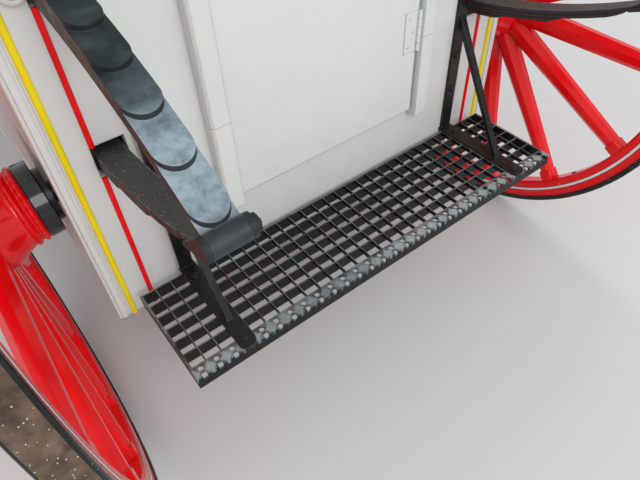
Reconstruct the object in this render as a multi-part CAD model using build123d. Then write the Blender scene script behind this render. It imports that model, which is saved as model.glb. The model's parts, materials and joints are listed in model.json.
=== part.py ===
from build123d import *
import math
import os

os.makedirs("parts", exist_ok=True)

# Four-wheeled ice cream cart, millimetres, +Z up.
# While it is drawn, X = 0 is the middle, Y = 0 the rear wall's face, +Y the way it
# travels and Z = 0 the ground. Each piece is moved along Y as it is written, so that
# the origin ends up on the ground under the middle of the whole cart.

# Body
body_half_w = 548.0      # middle to the outer face of a side wall
quarter_w = 146.0        # width of the set-in panel at each rear corner
centre_half_w = body_half_w - quarter_w
quarter_set_in = 12.0    # how far the quarter panels lie in front of the rear wall's face
wall_t = 22.0
body_bottom = 319.0
floor_top = 505.0
floor_t = 25.0
rail_top = 1350.0        # top of the body walls
well_len = 1300.0        # length of the low well that the vendor stands in
bow_len = 1300.0         # length of the raised bow over the front wheels
body_len = well_len + bow_len
bow_bottom = 890.0       # underside of the raised bow, over the front wheels
bow_corner_r = 150.0
capping_t = 22.0
capping_w = 84.0
capping_over = 18.0      # how far the capping stands out past the side walls
capping_over_rear = 34.0

# Rear door and the boards beside it
door_half_w = 233.5
door_bottom = 510.0
door_t = 15.0
door_seat = 1.0          # between the closed door and the wall behind it
door_lap = 18.0          # how far the door laps over the edge of its opening
door_gap = 5.5
panel_gap = 8.0          # round the inner panel that fills the doorway
stile_w = 38.0
stile_t = 30.0
stile_chamfer = 5.0
stile_drop = 16.0        # how far the boards reach below the door
door_angle_max = 105.0

# Hinges of the rear door
hinge_r = 5.0
hinge_leaf_w = 38.0
hinge_leaf_h = 90.0
hinge_leaf_t = 2.5
hinge_pin_r = 2.2
hinge_pin_clear = 0.1
hinge_knuckles = 5
hinge_knuckle_gap = 0.3
hinge_heights = (707.0, 1195.0)

# Half-round beads on the rear
bead_red_in = 78.0       # a side wall's outer face to the middle of the red bead
bead_red_r = 5.0
bead_red_x = body_half_w - bead_red_in
bead_yellow_in = 31.0
bead_yellow_r = 6.0
bead_yellow_x = body_half_w - bead_yellow_in

# Step
step_half_l = 500.0
step_top = 381.0
step_back = 14.0         # rear wall's face to the back of the step
step_cells = 30
step_rows = 6
row_pitch = 35.2
bar_depth = 30.0
bar_t = 3.0
rod_t = 2.0
rod_depth = 11.0
nosing_w = 29.0
nosing_hole_r = 5.5
notch_w = 10.0
notch_depth = 9.0

# Irons that carry the step
iron_in = 16.0           # edge of the proud rear wall to the middle of an iron
iron_x = centre_half_w - iron_in
strap_w = 36.0
strap_t = 6.0
strap_over = 4.0         # strap's round end past the nosing
iron_w = 30.0
iron_t = 8.0
iron_top = 850.0
brace_top = 679.0
brace_foot = 185.0
brace_w = 14.0
brace_t = 9.0

# Elliptic springs
leaf_w = 50.0
leaf_t = 7.0
eye_r = 16.0
eye_bolt_r = 8.0
eye_clear = 0.1          # round the bolt, and between the eye and its two ears
ear_t = 8.0              # the lower leaf's ears lie outside the eye, so its end is wider
ear_root = 52.0          # where that wider end starts, back from the eye
bolt_head_r = 12.0
bolt_head_t = 6.0
spring_in = 103.0        # a side wall's outer face to the middle of a rear spring
rear_spring_x = body_half_w - spring_in
rear_spring_half = 533.0
rear_spring_sag = 135.0
# Eye to the end of each shorter leaf, for the upper and the lower half
rear_steps_upper = (8.0, 70.0, 132.0, 196.0, 260.0, 324.0, 388.0)
rear_steps_lower = (70.0, 190.0, 320.0, 400.0)
rear_eye_z = 838.0
front_spring_x = 330.0
front_spring_half = 370.0
front_spring_sag = 92.0
front_steps_upper = (8.0, 80.0, 150.0, 220.0)
front_steps_lower = (60.0, 140.0, 220.0)
slot_side = 5.0          # free room beside a leaf in the quarter panel's slots
low_slot_above = 17.0
low_slot_below = 10.0
high_slot_below = 7.0
high_slot_above = 10.0

# Wheels, one row of sizes for each axle
axle_y = 130.0
rear_wheel_r = 585.0
rear_wheel_out = 144.0   # a side wall's outer face to the wheel's middle plane
rear_wheel_x = body_half_w + rear_wheel_out
rear_spokes = 14
front_wheel_r = 390.0
front_wheel_x = 600.0
front_spokes = 12
front_axle_ahead = 780.0  # end of the well to the front axle
front_axle_y = well_len + front_axle_ahead
camber = 3.5             # degrees that the top of a wheel leans outwards
tyre_t = 13.5
tyre_w = 50.0
felloe_depth = 48.0
felloe_w = 44.0
spoke_w = 48.0           # across the wheel's plane, at the hub
spoke_d = 56.0           # along it
spoke_taper = 0.66       # a spoke's size at the felloe to that at the hub
spoke_corner = 0.3       # share of the width that its bevelled corners take
hub_seat_r = 92.0
hub_seat_w = 66.0
hub_in = 132.0           # wheel's middle plane to the hub's inner end
hub_out = 104.0
hub_band_r = 72.0
hub_band_w = 32.0
hub_nose_r = 46.0
hub_nose_w = 30.0
hub_cap_t = 8.0
hub_ring_step = 6.0
arm_r = 22.0
arm_clear = 0.1
collar_r = 52.0
collar_w = 11.0
hub_gap = 0.4

# Axles
beam_size = 46.0
crank_in = 45.0          # a rear spring's middle to the cranked leg beside it
crank_x = rear_spring_x - crank_in
crank_bottom = 352.0
axle_notch_w = 150.0
axle_notch_rise = 125.0  # axle's middle to the top of the notch in a side wall

# Boxes that close in the rear springs
spring_box_w = 198.0     # a side wall's outer face to the box's inner face
spring_box_x = body_half_w - spring_box_w
spring_box_len = 735.0
spring_box_top = 1060.0

# Underframe
sill_x = 290.0
sill_w = 50.0
sill_h = 60.0
bearer_count = 4

# Turntable and fore-carriage
ring_r = 330.0
ring_w = 45.0
ring_t = 12.0
ring_gap = 0.4
bolster_w = 90.0
bed_h = 80.0
bed_w = 90.0
kingpin_r = 16.0
pin_clear = 0.1
futchell_x = 150.0
futchell_w = 45.0
futchell_h = 55.0
futchell_reach = 430.0
steer_angle = 60.0

# Drawbar
drawbar_len = 1500.0
fork_len = 440.0         # the drawbar's pin to the end of its forked part
fork_bar_w = 30.0
fork_bridge = 60.0       # thickness of the block where the two prongs meet
drawbar_w = 60.0
drawbar_h = 55.0
drawbar_pin_r = 12.0
drawbar_pin_drop = 170.0  # underside of the bow to the drawbar's pin
drawbar_lift = 50.0
tow_eye_r = 25.0
tow_eye_rim = 22.0
tow_eye_t = 28.0
fork_gap = 1.0

# Ice cream tubs and their lids
tub_x = 235.0
tub_ahead = 300.0        # end of the well to the middle of the tubs
tub_y = well_len + tub_ahead
tub_r = 165.0
tub_wall = 5.0
tub_depth = 330.0
tub_lip = 14.0
lid_half = 200.0
lid_t = 24.0
lid_gap = 1.0
lid_hinge_r = 6.0
lid_hinge_off = 15.0     # the lid's edge to its hinge
lid_hinge_half = 135.0
lid_ear_t = 14.0
lid_ear_half = 9.0
lid_ear_gap = 6.0
lid_knob_r = 16.0
lid_knob_h = 34.0
lid_angle_max = 95.0

# Canopy
post_side_in = 48.0      # a side wall's outer face to a post's middle
post_x = body_half_w - post_side_in
post_in = 60.0           # post's middle to the end of the body
post_r = 27.0
roof_z = 2400.0          # underside of the eaves
roof_rise = 150.0
roof_t = 18.0
roof_side_over = 62.0    # how far the roof stands out past a side wall
roof_half_w = body_half_w + roof_side_over
roof_over = 70.0
roof_rail_w = 50.0
roof_rail_h = 50.0
rib_depth = 40.0
rib_t = 32.0
valance_t = 12.0
valance_h = 150.0
side_scallop_count = 16
end_scallop_count = 7
scallop_depth = 45.0

# Derived places
pivot_y = front_axle_y + futchell_reach
pivot_z = bow_bottom - drawbar_pin_drop
eye_out_r = tow_eye_r + tow_eye_rim
# The drawbar lies with the lower edge of its eye on the ground
reach = drawbar_len + eye_out_r
rest = math.asin(pivot_z / math.hypot(reach, tow_eye_t / 2)) - math.atan2(tow_eye_t / 2, reach)
rest_angle = math.degrees(rest)
y_front_end = pivot_y + reach * math.cos(rest) + tow_eye_t / 2 * math.sin(rest)
y_rear_end = axle_y - rear_wheel_r
y_shift = -(y_front_end + y_rear_end) / 2


def slab(x0, x1, y0, y1, z0, z1):
    size = (abs(x1 - x0), abs(y1 - y0), abs(z1 - z0))
    return Pos((x0 + x1) / 2, (y0 + y1) / 2, (z0 + z1) / 2) * Box(*size)


def side_profile(points, x0, x1):
    """A closed outline of (y, z) points, drawn out from x0 to x1."""
    face = make_face(Plane.YZ.offset(x0) * Polyline(*points, close=True))
    return extrude(face, amount=x1 - x0, dir=(1, 0, 0))


def turned(points):
    """A closed outline of (x, radius) points, turned about the X axis."""
    return revolve(make_face(Plane.XZ * Polyline(*points, close=True)), Axis.X)


def rod_x(r, x0, x1, y=0.0, z=0.0):
    return Pos((x0 + x1) / 2, y, z) * Rot(0, 90, 0) * Cylinder(r, abs(x1 - x0))


def rod_z(r, z0, z1, x=0.0, y=0.0):
    return Pos(x, y, (z0 + z1) / 2) * Cylinder(r, abs(z1 - z0))


def fuse(shapes):
    first, *rest = shapes
    return first.fuse(*rest) if rest else first


def both(shape):
    """A piece and its mirror image on the other side of the cart."""
    return [shape, mirror(shape, Plane.YZ)]


def save(shapes, name):
    solids = []
    for shape in shapes if isinstance(shapes, list) else [shapes]:
        solids.extend(shape.solids())
    whole = Compound(children=[Pos(0, y_shift, 0) * solid for solid in solids])
    export_step(whole, f"parts/{name}.step")


# Rear wall with its doorway, and the proud boards on each side of the door
opening_half_w = door_half_w - door_lap
opening_bottom = door_bottom + door_lap
rear_wall = slab(-centre_half_w, centre_half_w, 0, wall_t, body_bottom, rail_top)
rear_wall -= slab(-opening_half_w, opening_half_w, -1, wall_t + 1, opening_bottom, rail_top + 1)
save(rear_wall, "rear_wall")

stile_in = door_half_w + door_gap
stile_out = stile_in + stile_w
stile_bottom = door_bottom - stile_drop
stile_points = [(stile_in, 0), (stile_in, -stile_t), (stile_out - stile_chamfer, -stile_t),
                (stile_out, -stile_t + stile_chamfer), (stile_out, 0)]
stile = extrude(Plane.XY.offset(stile_bottom) * make_face(Polyline(*stile_points, close=True)),
                amount=rail_top - stile_bottom)
save(both(stile), "rear_stiles")

# Quarter panels, set back beside the rear wall, with slots for the springs
rear_main_z = rear_eye_z - rear_spring_sag
slot_half_w = leaf_w / 2 + slot_side
low_stack = (len(rear_steps_lower) + 1) * leaf_t
high_stack = (len(rear_steps_upper) + 1) * leaf_t
wall_sag = rear_spring_sag * (1 - (axle_y / rear_spring_half) ** 2)
low_slot = (rear_eye_z - wall_sag - low_stack - low_slot_below, rear_eye_z - wall_sag + low_slot_above)
high_slot = (rear_eye_z + wall_sag - high_slot_below, rear_eye_z + wall_sag + high_stack + high_slot_above)
quarter = slab(centre_half_w, body_half_w - wall_t, quarter_set_in, quarter_set_in + wall_t,
               body_bottom, rail_top)
for z0, z1 in (low_slot, high_slot):
    quarter -= slab(rear_spring_x - slot_half_w, rear_spring_x + slot_half_w,
                    0, 2 * wall_t + quarter_set_in, z0, z1)
save(both(quarter), "rear_quarters")

# Half-round beads: red beside the spring slots, yellow at the corner
def bead(x, r, z0, z1):
    rod = rod_z(r, z0, z1, x, quarter_set_in)
    return rod & slab(x - r, x + r, quarter_set_in - r, quarter_set_in, z0, z1)


red_runs = [(body_bottom, low_slot[0]), (low_slot[1], high_slot[0]), (high_slot[1], rail_top)]
red_beads = [bead(bead_red_x, bead_red_r, z0, z1) for z0, z1 in red_runs]
save([b for one in red_beads for b in both(one)], "beads_red")
save(both(bead(bead_yellow_x, bead_yellow_r, body_bottom, rail_top)), "beads_yellow")

# Side walls of the well, each with a notch for the rear axle
side = slab(body_half_w - wall_t, body_half_w, quarter_set_in, well_len, body_bottom, rail_top)
side -= slab(body_half_w - 2 * wall_t, body_half_w + wall_t, axle_y - axle_notch_w / 2,
             axle_y + axle_notch_w / 2, body_bottom - 1, rear_wheel_r + axle_notch_rise)
save(both(side), "side_walls")

# Boxes over the rear springs, open below
box_y0 = quarter_set_in + wall_t
box_y1 = spring_box_len
spring_box = slab(spring_box_x, body_half_w - wall_t, box_y0, box_y1, floor_top, spring_box_top)
spring_box -= slab(spring_box_x + wall_t, body_half_w, 0, box_y1 - wall_t,
                   floor_top - 1, spring_box_top - wall_t)
save(both(spring_box), "spring_boxes")

# Floor of the well, its sills and cross bearers
floor_z = floor_top - floor_t
floor_half_w = spring_box_x + wall_t
floor = fuse([slab(-floor_half_w, floor_half_w, wall_t, box_y1, floor_z, floor_top),
              slab(-body_half_w + wall_t, body_half_w - wall_t, box_y1, well_len - wall_t,
                   floor_z, floor_top)])
save(floor, "floor")
sills = [slab(s * sill_x - sill_w / 2, s * sill_x + sill_w / 2, wall_t, well_len - wall_t,
              floor_z - sill_h, floor_z) for s in (-1, 1)]
bearers = []
for i in range(bearer_count):
    y = wall_t + sill_w + i * (well_len - 2 * wall_t - 3 * sill_w) / (bearer_count - 1)
    half = spring_box_x if y < box_y1 else body_half_w - wall_t
    bearers.append(slab(-half, half, y, y + sill_w, floor_z - sill_h, floor_z))
save(fuse(sills + bearers), "underframe")

# Bulkhead between the well and the bow
save(slab(-body_half_w + wall_t, body_half_w - wall_t, well_len - wall_t, well_len,
          body_bottom, rail_top), "bulkhead")

# Raised bow: sides with a rounded lower corner, floor and front
bow_front_y = body_len
with BuildSketch(Plane.YZ.offset(body_half_w - wall_t)) as bow_outline:
    with BuildLine():
        corner_z = bow_bottom - bow_corner_r
        Line((well_len, rail_top), (well_len, corner_z))
        RadiusArc((well_len, corner_z), (well_len + bow_corner_r, bow_bottom), bow_corner_r)
        Line((well_len + bow_corner_r, bow_bottom), (bow_front_y, bow_bottom))
        Line((bow_front_y, bow_bottom), (bow_front_y, rail_top))
        Line((bow_front_y, rail_top), (well_len, rail_top))
    make_face()
bow_side = extrude(bow_outline.sketch, amount=wall_t)
save(both(bow_side), "bow_sides")
inner_half_w = body_half_w - wall_t
save(slab(-inner_half_w, inner_half_w, well_len, bow_front_y - wall_t,
          bow_bottom, bow_bottom + wall_t), "bow_floor")
save(slab(-inner_half_w, inner_half_w, bow_front_y - wall_t, bow_front_y,
          bow_bottom, rail_top), "bow_front")

# Counter over the bow, with the mouths of the tubs
counter_top = rail_top + capping_t
over_half_w = body_half_w + capping_over
counter = slab(-over_half_w, over_half_w, well_len - wall_t, bow_front_y + capping_over,
               rail_top, counter_top)
for s in (-1, 1):
    counter -= rod_z(tub_r, rail_top - 1, counter_top + 1, s * tub_x, tub_y)
save(counter, "counter")

# Tubs that hang in the counter by their lips
tub_points = [(0, 0), (tub_r - 1, 0), (tub_r - 1, tub_depth), (tub_r - 1 - tub_wall, tub_depth),
              (tub_r - 1 - tub_wall, tub_wall), (0, tub_wall)]
tub = revolve(make_face(Plane.XZ * Polyline(*tub_points, close=True)), Axis.Z)
lip = Pos(0, 0, tub_depth - tub_wall / 2) * (
    Cylinder(tub_r + tub_lip, tub_wall) - Cylinder(tub_r - 1 - tub_wall, 2 * tub_wall))
tub = Pos(tub_x, tub_y, counter_top + tub_wall - tub_depth) * tub.fuse(lip)
save(both(tub), "tubs")

# Lids, hinged at their front edge
lid_z = counter_top + tub_wall + lid_gap
lid_y1 = tub_y + lid_half
lid = slab(tub_x - lid_half, tub_x + lid_half, tub_y - lid_half, lid_y1, lid_z, lid_z + lid_t)
lid = fillet(lid.edges().filter_by(Axis.Z), 30)
lid = fillet(lid.edges().group_by(Axis.Z)[-1], 8)
knob_points = [(0, 0), (lid_knob_r * 0.6, 0), (lid_knob_r * 0.45, lid_knob_h * 0.45),
               (lid_knob_r, lid_knob_h * 0.7), (lid_knob_r * 0.7, lid_knob_h), (0, lid_knob_h)]
knob = revolve(make_face(Plane.XZ * Polyline(*knob_points, close=True)), Axis.Z)
knob = Pos(tub_x, tub_y - lid_half * 0.7, lid_z + lid_t) * knob
lid_hinge_y = lid_y1 + lid_hinge_off
lid_hinge_z = lid_z + lid_t / 2
rod_half = lid_hinge_half + lid_ear_gap + lid_ear_t
lid_rod = rod_x(lid_hinge_r, tub_x - rod_half, tub_x + rod_half, lid_hinge_y, lid_hinge_z)
lid_web = slab(tub_x - lid_hinge_half, tub_x + lid_hinge_half, lid_y1 - 2, lid_hinge_y,
               lid_hinge_z - lid_hinge_r * 0.6, lid_hinge_z + lid_hinge_r * 0.6)
lid_right, lid_left = both(fuse([lid, knob, lid_rod, lid_web]))
save(lid_left, "lid_left")
save(lid_right, "lid_right")
# Ears on the counter that hold the ends of the lids' hinge rods
lid_ears = []
for s in (-1, 1):
    for e in (-1, 1):
        x = s * tub_x + e * (rod_half - lid_ear_t / 2)
        ear = slab(x - lid_ear_t / 2, x + lid_ear_t / 2, lid_hinge_y - lid_ear_half,
                   lid_hinge_y + lid_ear_half, counter_top, lid_hinge_z)
        ear += rod_x(lid_ear_half, x - lid_ear_t / 2, x + lid_ear_t / 2, lid_hinge_y, lid_hinge_z)
        ear -= rod_x(lid_hinge_r + pin_clear, x - lid_ear_t, x + lid_ear_t, lid_hinge_y, lid_hinge_z)
        lid_ears.append(ear)
save(lid_ears, "lid_hinge_ears")

# Capping round the well, left open at the door
cap_in = body_half_w + capping_over - capping_w
cap_y0 = -capping_over_rear
cap_right = slab(cap_in, over_half_w, cap_y0, well_len - wall_t, rail_top, counter_top)
cap_rear = slab(stile_in, cap_in, cap_y0, cap_y0 + capping_w, rail_top, counter_top)
save(both(fuse([cap_right, cap_rear])), "capping")

# Rear door
door_top = rail_top + capping_t
door_face = -door_seat - door_t
panel_half_w = opening_half_w - panel_gap
door = slab(-door_half_w, door_half_w, door_face, -door_seat, door_bottom, door_top)
inner_panel = slab(-panel_half_w, panel_half_w, -door_seat, wall_t,
                   opening_bottom + panel_gap, door_top)
save(fuse([door, inner_panel]), "rear_door")

# Hinges: one leaf on the door's face, the other on the side of the board, and a row of
# knuckles on one pin, of which the board holds the first and each second one
hinge_x = stile_in - hinge_r - hinge_knuckle_gap
hinge_y = door_face - hinge_r
knuckle_h = hinge_leaf_h / hinge_knuckles
door_hinges = []
board_hinges = []
for z in hinge_heights:
    z0 = z - hinge_leaf_h / 2
    door_leaf = slab(hinge_x - hinge_leaf_w, hinge_x, door_face - hinge_leaf_t, door_face,
                     z0, z0 + hinge_leaf_h)
    board_leaf = slab(stile_in - hinge_leaf_t, stile_in, hinge_y, -hinge_r, z0, z0 + hinge_leaf_h)
    space = rod_z(hinge_r + hinge_knuckle_gap, z0, z0 + hinge_leaf_h, hinge_x, hinge_y)
    door_leaf -= space
    board_leaf -= space
    door_knuckles = []
    board_knuckles = [rod_z(hinge_pin_r, z0, z0 + hinge_leaf_h, hinge_x, hinge_y)]
    for i in range(hinge_knuckles):
        low = z0 + i * knuckle_h
        knuckle = rod_z(hinge_r, low + hinge_knuckle_gap / 2, low + knuckle_h - hinge_knuckle_gap / 2,
                        hinge_x, hinge_y)
        if i % 2:
            knuckle -= rod_z(hinge_pin_r + hinge_pin_clear, low, low + knuckle_h, hinge_x, hinge_y)
            tongue = slab(hinge_x - hinge_r - 1, hinge_x, door_face - hinge_leaf_t, door_face,
                          low + hinge_knuckle_gap / 2, low + knuckle_h - hinge_knuckle_gap / 2)
            tongue -= rod_z(hinge_r - 1, low, low + knuckle_h, hinge_x, hinge_y)
            door_knuckles += [knuckle, tongue]
        else:
            tongue = slab(stile_in - hinge_leaf_t, stile_in, hinge_y, hinge_y + hinge_r + 1,
                          low + hinge_knuckle_gap / 2, low + knuckle_h - hinge_knuckle_gap / 2)
            board_knuckles += [knuckle, tongue]
    door_hinges.append(fuse([door_leaf] + door_knuckles))
    board_hinges.append(fuse([board_leaf] + board_knuckles))
save(door_hinges, "door_hinges")
save(board_hinges, "board_hinges")

# Step: a pressed grating of deep bars and thin rods, with a toothed front edge
cell = 2 * step_half_l / step_cells
back_y = -step_back
nose_y = back_y - step_rows * row_pitch
front_y = nose_y - nosing_w
bars = [slab(-step_half_l, step_half_l, back_y - i * row_pitch - bar_t, back_y - i * row_pitch,
             step_top - bar_depth, step_top) for i in range(step_rows)]
rods = [slab(-step_half_l + i * cell - rod_t / 2, -step_half_l + i * cell + rod_t / 2,
             nose_y, back_y, step_top - rod_depth, step_top) for i in range(1, step_cells)]
ends = [slab(s * step_half_l, s * (step_half_l - 5), front_y, back_y,
             step_top - bar_depth, step_top) for s in (-1, 1)]
nosing = slab(-step_half_l, step_half_l, front_y, nose_y, step_top - bar_t, step_top)
fascia = slab(-step_half_l, step_half_l, front_y, front_y + bar_t, step_top - bar_depth, step_top)
nosing = fuse([nosing, fascia])
for i in range(step_cells):
    x = -step_half_l + (i + 0.5) * cell
    nosing -= rod_z(nosing_hole_r, step_top - bar_t - 1, step_top + 1, x, nose_y - 10)
    nosing -= slab(x - notch_w / 2, x + notch_w / 2, front_y - 1, front_y + notch_depth,
                   step_top - notch_depth, step_top + 1)
save(fuse([nosing] + ends + bars + rods), "step_tread")

# Irons: strap over the step, upright on the wall and a slanting brace
strap_end = front_y - strap_over + strap_w / 2
strap = fuse([slab(iron_x - strap_w / 2, iron_x + strap_w / 2, strap_end, 0,
                   step_top, step_top + strap_t),
              rod_z(strap_w / 2, step_top, step_top + strap_t, iron_x, strap_end)])
upright = slab(iron_x - iron_w / 2 + 1, iron_x + iron_w / 2 + 1, -iron_t, 0, step_top, iron_top)
z_foot = step_top + strap_t / 2
brace = side_profile([(-brace_foot, z_foot), (-brace_foot + brace_t * 1.2, z_foot),
                      (-iron_t / 2, brace_top - brace_t), (-iron_t / 2, brace_top + brace_t),
                      (-iron_t - 2, brace_top + brace_t)],
                     iron_x - brace_w / 2 + 1, iron_x + brace_w / 2 + 1)
save(both(fuse([strap, upright, brace])), "step_irons")


# Elliptic springs. Each half is drawn as a lower one, about its middle at (0, 0), with its
# main leaf on top. The other leaves have round ends, each one shorter than the last.
def spring_half(half, sag, steps, main_reach):
    r = (half ** 2 + sag ** 2) / (2 * sag)
    depth = (len(steps) + 2) * leaf_t
    leaves = []
    for i, step in enumerate((0.0,) + tuple(steps)):
        reach = half - step - leaf_w / 2 if i else main_reach
        ring = rod_x(r + (i + 1) * leaf_t, -leaf_w / 2, leaf_w / 2, 0, r)
        ring -= rod_x(r + i * leaf_t, -leaf_w, leaf_w, 0, r)
        plan = slab(-leaf_w / 2, leaf_w / 2, -reach, reach, -depth, sag * 1.2)
        if i:
            for s in (-1, 1):
                plan = plan.fuse(rod_z(leaf_w / 2, -depth, sag * 1.2, 0, s * reach))
        leaves.append(ring & plan)
    return fuse(leaves)


def lower_half(half, sag, steps):
    """The main leaf ends in a wider fork whose two ears hold the upper half's eye."""
    gap = 3.0
    main_reach = half - eye_r - gap
    body = spring_half(half, sag, steps, main_reach)
    r = (half ** 2 + sag ** 2) / (2 * sag)
    root_y = half - ear_root
    root_z = r - math.sqrt(r ** 2 - root_y ** 2)
    ear_in = leaf_w / 2 + eye_clear
    ear_out = leaf_w / 2 + ear_t
    fork = rod_x(r + leaf_t, -ear_out, ear_out, 0, r) - rod_x(r, -2 * leaf_w, 2 * leaf_w, 0, r)
    pieces = [body]
    for s in (-1, 1):
        pieces.append(fork & slab(-ear_out, ear_out, s * root_y, s * main_reach, 0, sag * 1.2))
        for e in (-1, 1):
            x0, x1 = sorted((e * ear_in, e * ear_out))
            pieces.append(rod_x(eye_r, x0, x1, s * half, sag))
            pieces.append(side_profile([(s * root_y, root_z), (s * (half - eye_r * 0.4), sag + eye_r * 0.9),
                                        (s * half, sag), (s * (half - eye_r * 0.2), sag - eye_r * 0.95),
                                        (s * (root_y + leaf_t / 2), root_z - leaf_t * 0.9)], x0, x1))
        pieces.append(rod_x(eye_bolt_r, -ear_out, ear_out, s * half, sag))
        pieces.append(rod_x(bolt_head_r, -ear_out - bolt_head_t, -ear_out, s * half, sag))
    return fuse(pieces)


def upper_half(half, sag, steps):
    """The main leaf and the leaf beside it run into the rolled eye."""
    body = spring_half(half, sag, steps, half - eye_bolt_r)
    eye_half = leaf_w / 2
    for s in (-1, 1):
        body = body.fuse(rod_x(eye_r, -eye_half, eye_half, s * half, sag))
    for s in (-1, 1):
        body -= rod_x(eye_bolt_r + eye_clear, -leaf_w, leaf_w, s * half, sag)
    return body


def placed_springs(make, half, sag, steps, x, y, eye_z, upper):
    spring = make(half, sag, steps)
    if upper:
        spring = mirror(spring, Plane.XY)
        z = eye_z + sag
    else:
        z = eye_z - sag
    return both(Pos(x, y, z) * spring)


save(placed_springs(lower_half, rear_spring_half, rear_spring_sag, rear_steps_lower,
                    rear_spring_x, axle_y, rear_eye_z, False), "rear_springs_lower")
save(placed_springs(upper_half, rear_spring_half, rear_spring_sag, rear_steps_upper,
                    rear_spring_x, axle_y, rear_eye_z, True), "rear_springs_upper")


# Wheels, drawn about the X axis with the hub's inner end towards -X
def hub():
    band = hub_band_r
    seat = hub_seat_w / 2
    step = hub_ring_step
    points = [(-hub_in, arm_r + arm_clear), (-hub_in, band), (-hub_in + hub_band_w, band),
              (-hub_in + hub_band_w, band - step), (-seat - step, hub_seat_r - 2 * step),
              (-seat, hub_seat_r), (seat, hub_seat_r), (seat + step, hub_seat_r - 2 * step),
              (hub_out - hub_nose_w, hub_nose_r + step), (hub_out, hub_nose_r), (hub_out, 0),
              (hub_out - hub_cap_t, 0), (hub_out - hub_cap_t, arm_r + arm_clear)]
    return turned(points)


def tyre(r):
    half = tyre_w / 2
    return turned([(-half, r - tyre_t), (-half, r), (half, r), (half, r - tyre_t)])


def felloes(r):
    out = r - tyre_t
    inner = out - felloe_depth
    half = felloe_w / 2
    return turned([(-half, inner + 5), (-half, out), (half, out), (half, inner + 5),
                   (half - 5, inner), (-half + 5, inner)])


def spokes(r, count):
    inner = r - tyre_t - felloe_depth
    sink = 12.0
    sections = []
    for z, k in ((hub_seat_r - sink, 1.0), (inner + sink, spoke_taper)):
        w = spoke_w / 2 * k
        d = spoke_d / 2 * k
        c = 2 * spoke_corner
        outline = [(w, d * (1 - c)), (w * (1 - c), d), (-w * (1 - c), d), (-w, d * (1 - c)),
                   (-w, -d * (1 - c)), (-w * (1 - c), -d), (w * (1 - c), -d), (w, -d * (1 - c))]
        sections.append(Plane.XY.offset(z) * make_face(Polyline(*outline, close=True)))
    spoke = loft(sections, ruled=True)
    spoke -= rod_x(hub_seat_r, -hub_seat_w, hub_seat_w)
    spoke &= rod_x(inner, -hub_seat_w, hub_seat_w)
    return [Rot(360.0 / count * (i + 0.5), 0, 0) * spoke for i in range(count)]


def wheel(r, count, x, y):
    z = r * math.cos(math.radians(camber)) + tyre_w / 2 * math.sin(math.radians(camber))
    place = Pos(x, y, z) * Rot(0, camber, 0)
    pieces = {"hub": [hub()], "tyre": [tyre(r)], "felloes": [felloes(r)],
              "spokes": spokes(r, count)}
    return {name: [place * one for one in some] for name, some in pieces.items()}


for axle, r, count, x, y in (("rear", rear_wheel_r, rear_spokes, rear_wheel_x, axle_y),
                             ("front", front_wheel_r, front_spokes, front_wheel_x, front_axle_y)):
    for part, some in wheel(r, count, x, y).items():
        save(some, f"wheel_{axle}_right_{part}")
        save([mirror(one, Plane.YZ) for one in some], f"wheel_{axle}_left_{part}")


# Axle arm for one wheel and its collar, in the wheel's own frame, then placed like it
def arm(r, x, y, inboard):
    z = r * math.cos(math.radians(camber)) + tyre_w / 2 * math.sin(math.radians(camber))
    place = Pos(x, y, z) * Rot(0, camber, 0)
    shaft = rod_x(arm_r, -inboard, hub_out - 14)
    collar = rod_x(collar_r, -hub_in - hub_gap - collar_w, -hub_in - hub_gap)
    collar -= rod_x(arm_r, -hub_in - 2 * collar_w, -hub_in)
    return place * shaft, place * collar


def hub_height(r, x_from_wheel):
    z = r * math.cos(math.radians(camber)) + tyre_w / 2 * math.sin(math.radians(camber))
    return z + x_from_wheel * math.sin(math.radians(camber))


# Rear axle: cranked down inside the spring boxes to pass below the floor. Its arms are
# forged to the outer faces of the blocks that the springs sit on, with a collar on each.
seat_out = rear_spring_x + leaf_w / 2 + 6
arm_inboard = rear_wheel_x - rear_spring_x - leaf_w / 2 + 8
z_arm = hub_height(rear_wheel_r, rear_wheel_x - rear_spring_x)
half_beam = beam_size / 2
seat_block = slab(crank_x - half_beam, seat_out, axle_y - half_beam, axle_y + half_beam,
                  z_arm - half_beam, rear_main_z - low_stack)
leg = slab(crank_x - half_beam, crank_x + half_beam, axle_y - half_beam, axle_y + half_beam,
           crank_bottom, z_arm)
low_beam = slab(0, crank_x, axle_y - half_beam, axle_y + half_beam, crank_bottom,
                crank_bottom + beam_size)
save(fuse(both(fuse([seat_block, leg, low_beam]))), "rear_axle")
rear_shaft, rear_collar = arm(rear_wheel_r, rear_wheel_x, axle_y, arm_inboard)
rear_shaft &= slab(seat_out, rear_wheel_x + hub_out, axle_y - beam_size, axle_y + beam_size,
                   z_arm - beam_size, z_arm + beam_size)
save(both(rear_shaft), "rear_axle_arms")
save(both(rear_collar), "rear_axle_collars")

# Brackets that hang the body on the upper halves of the rear springs
spring_top = rear_eye_z + rear_spring_sag + high_stack
bracket = slab(rear_spring_x - leaf_w / 2 - 8, rear_spring_x + leaf_w / 2 + 8, axle_y - 60,
               axle_y + 60, spring_top, spring_box_top - wall_t)
save(both(bracket), "spring_brackets")

# Turntable, upper half: ring, bolster under the bow and kingpin
ring_z = bow_bottom - bolster_w
upper_ring = Pos(0, front_axle_y, ring_z - ring_t / 2) * (
    Cylinder(ring_r, ring_t) - Cylinder(ring_r - ring_w, 2 * ring_t))
bolster = [slab(-ring_r, ring_r, front_axle_y + y - bolster_w / 2, front_axle_y + y + bolster_w / 2,
                ring_z, bow_bottom) for y in (-ring_r * 0.6, 0, ring_r * 0.6)]
kingpin = rod_z(kingpin_r, ring_z - 2 * ring_t - ring_gap - bed_h, bow_bottom, 0, front_axle_y)
save(fuse([upper_ring, kingpin] + bolster), "turntable_upper")

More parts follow.
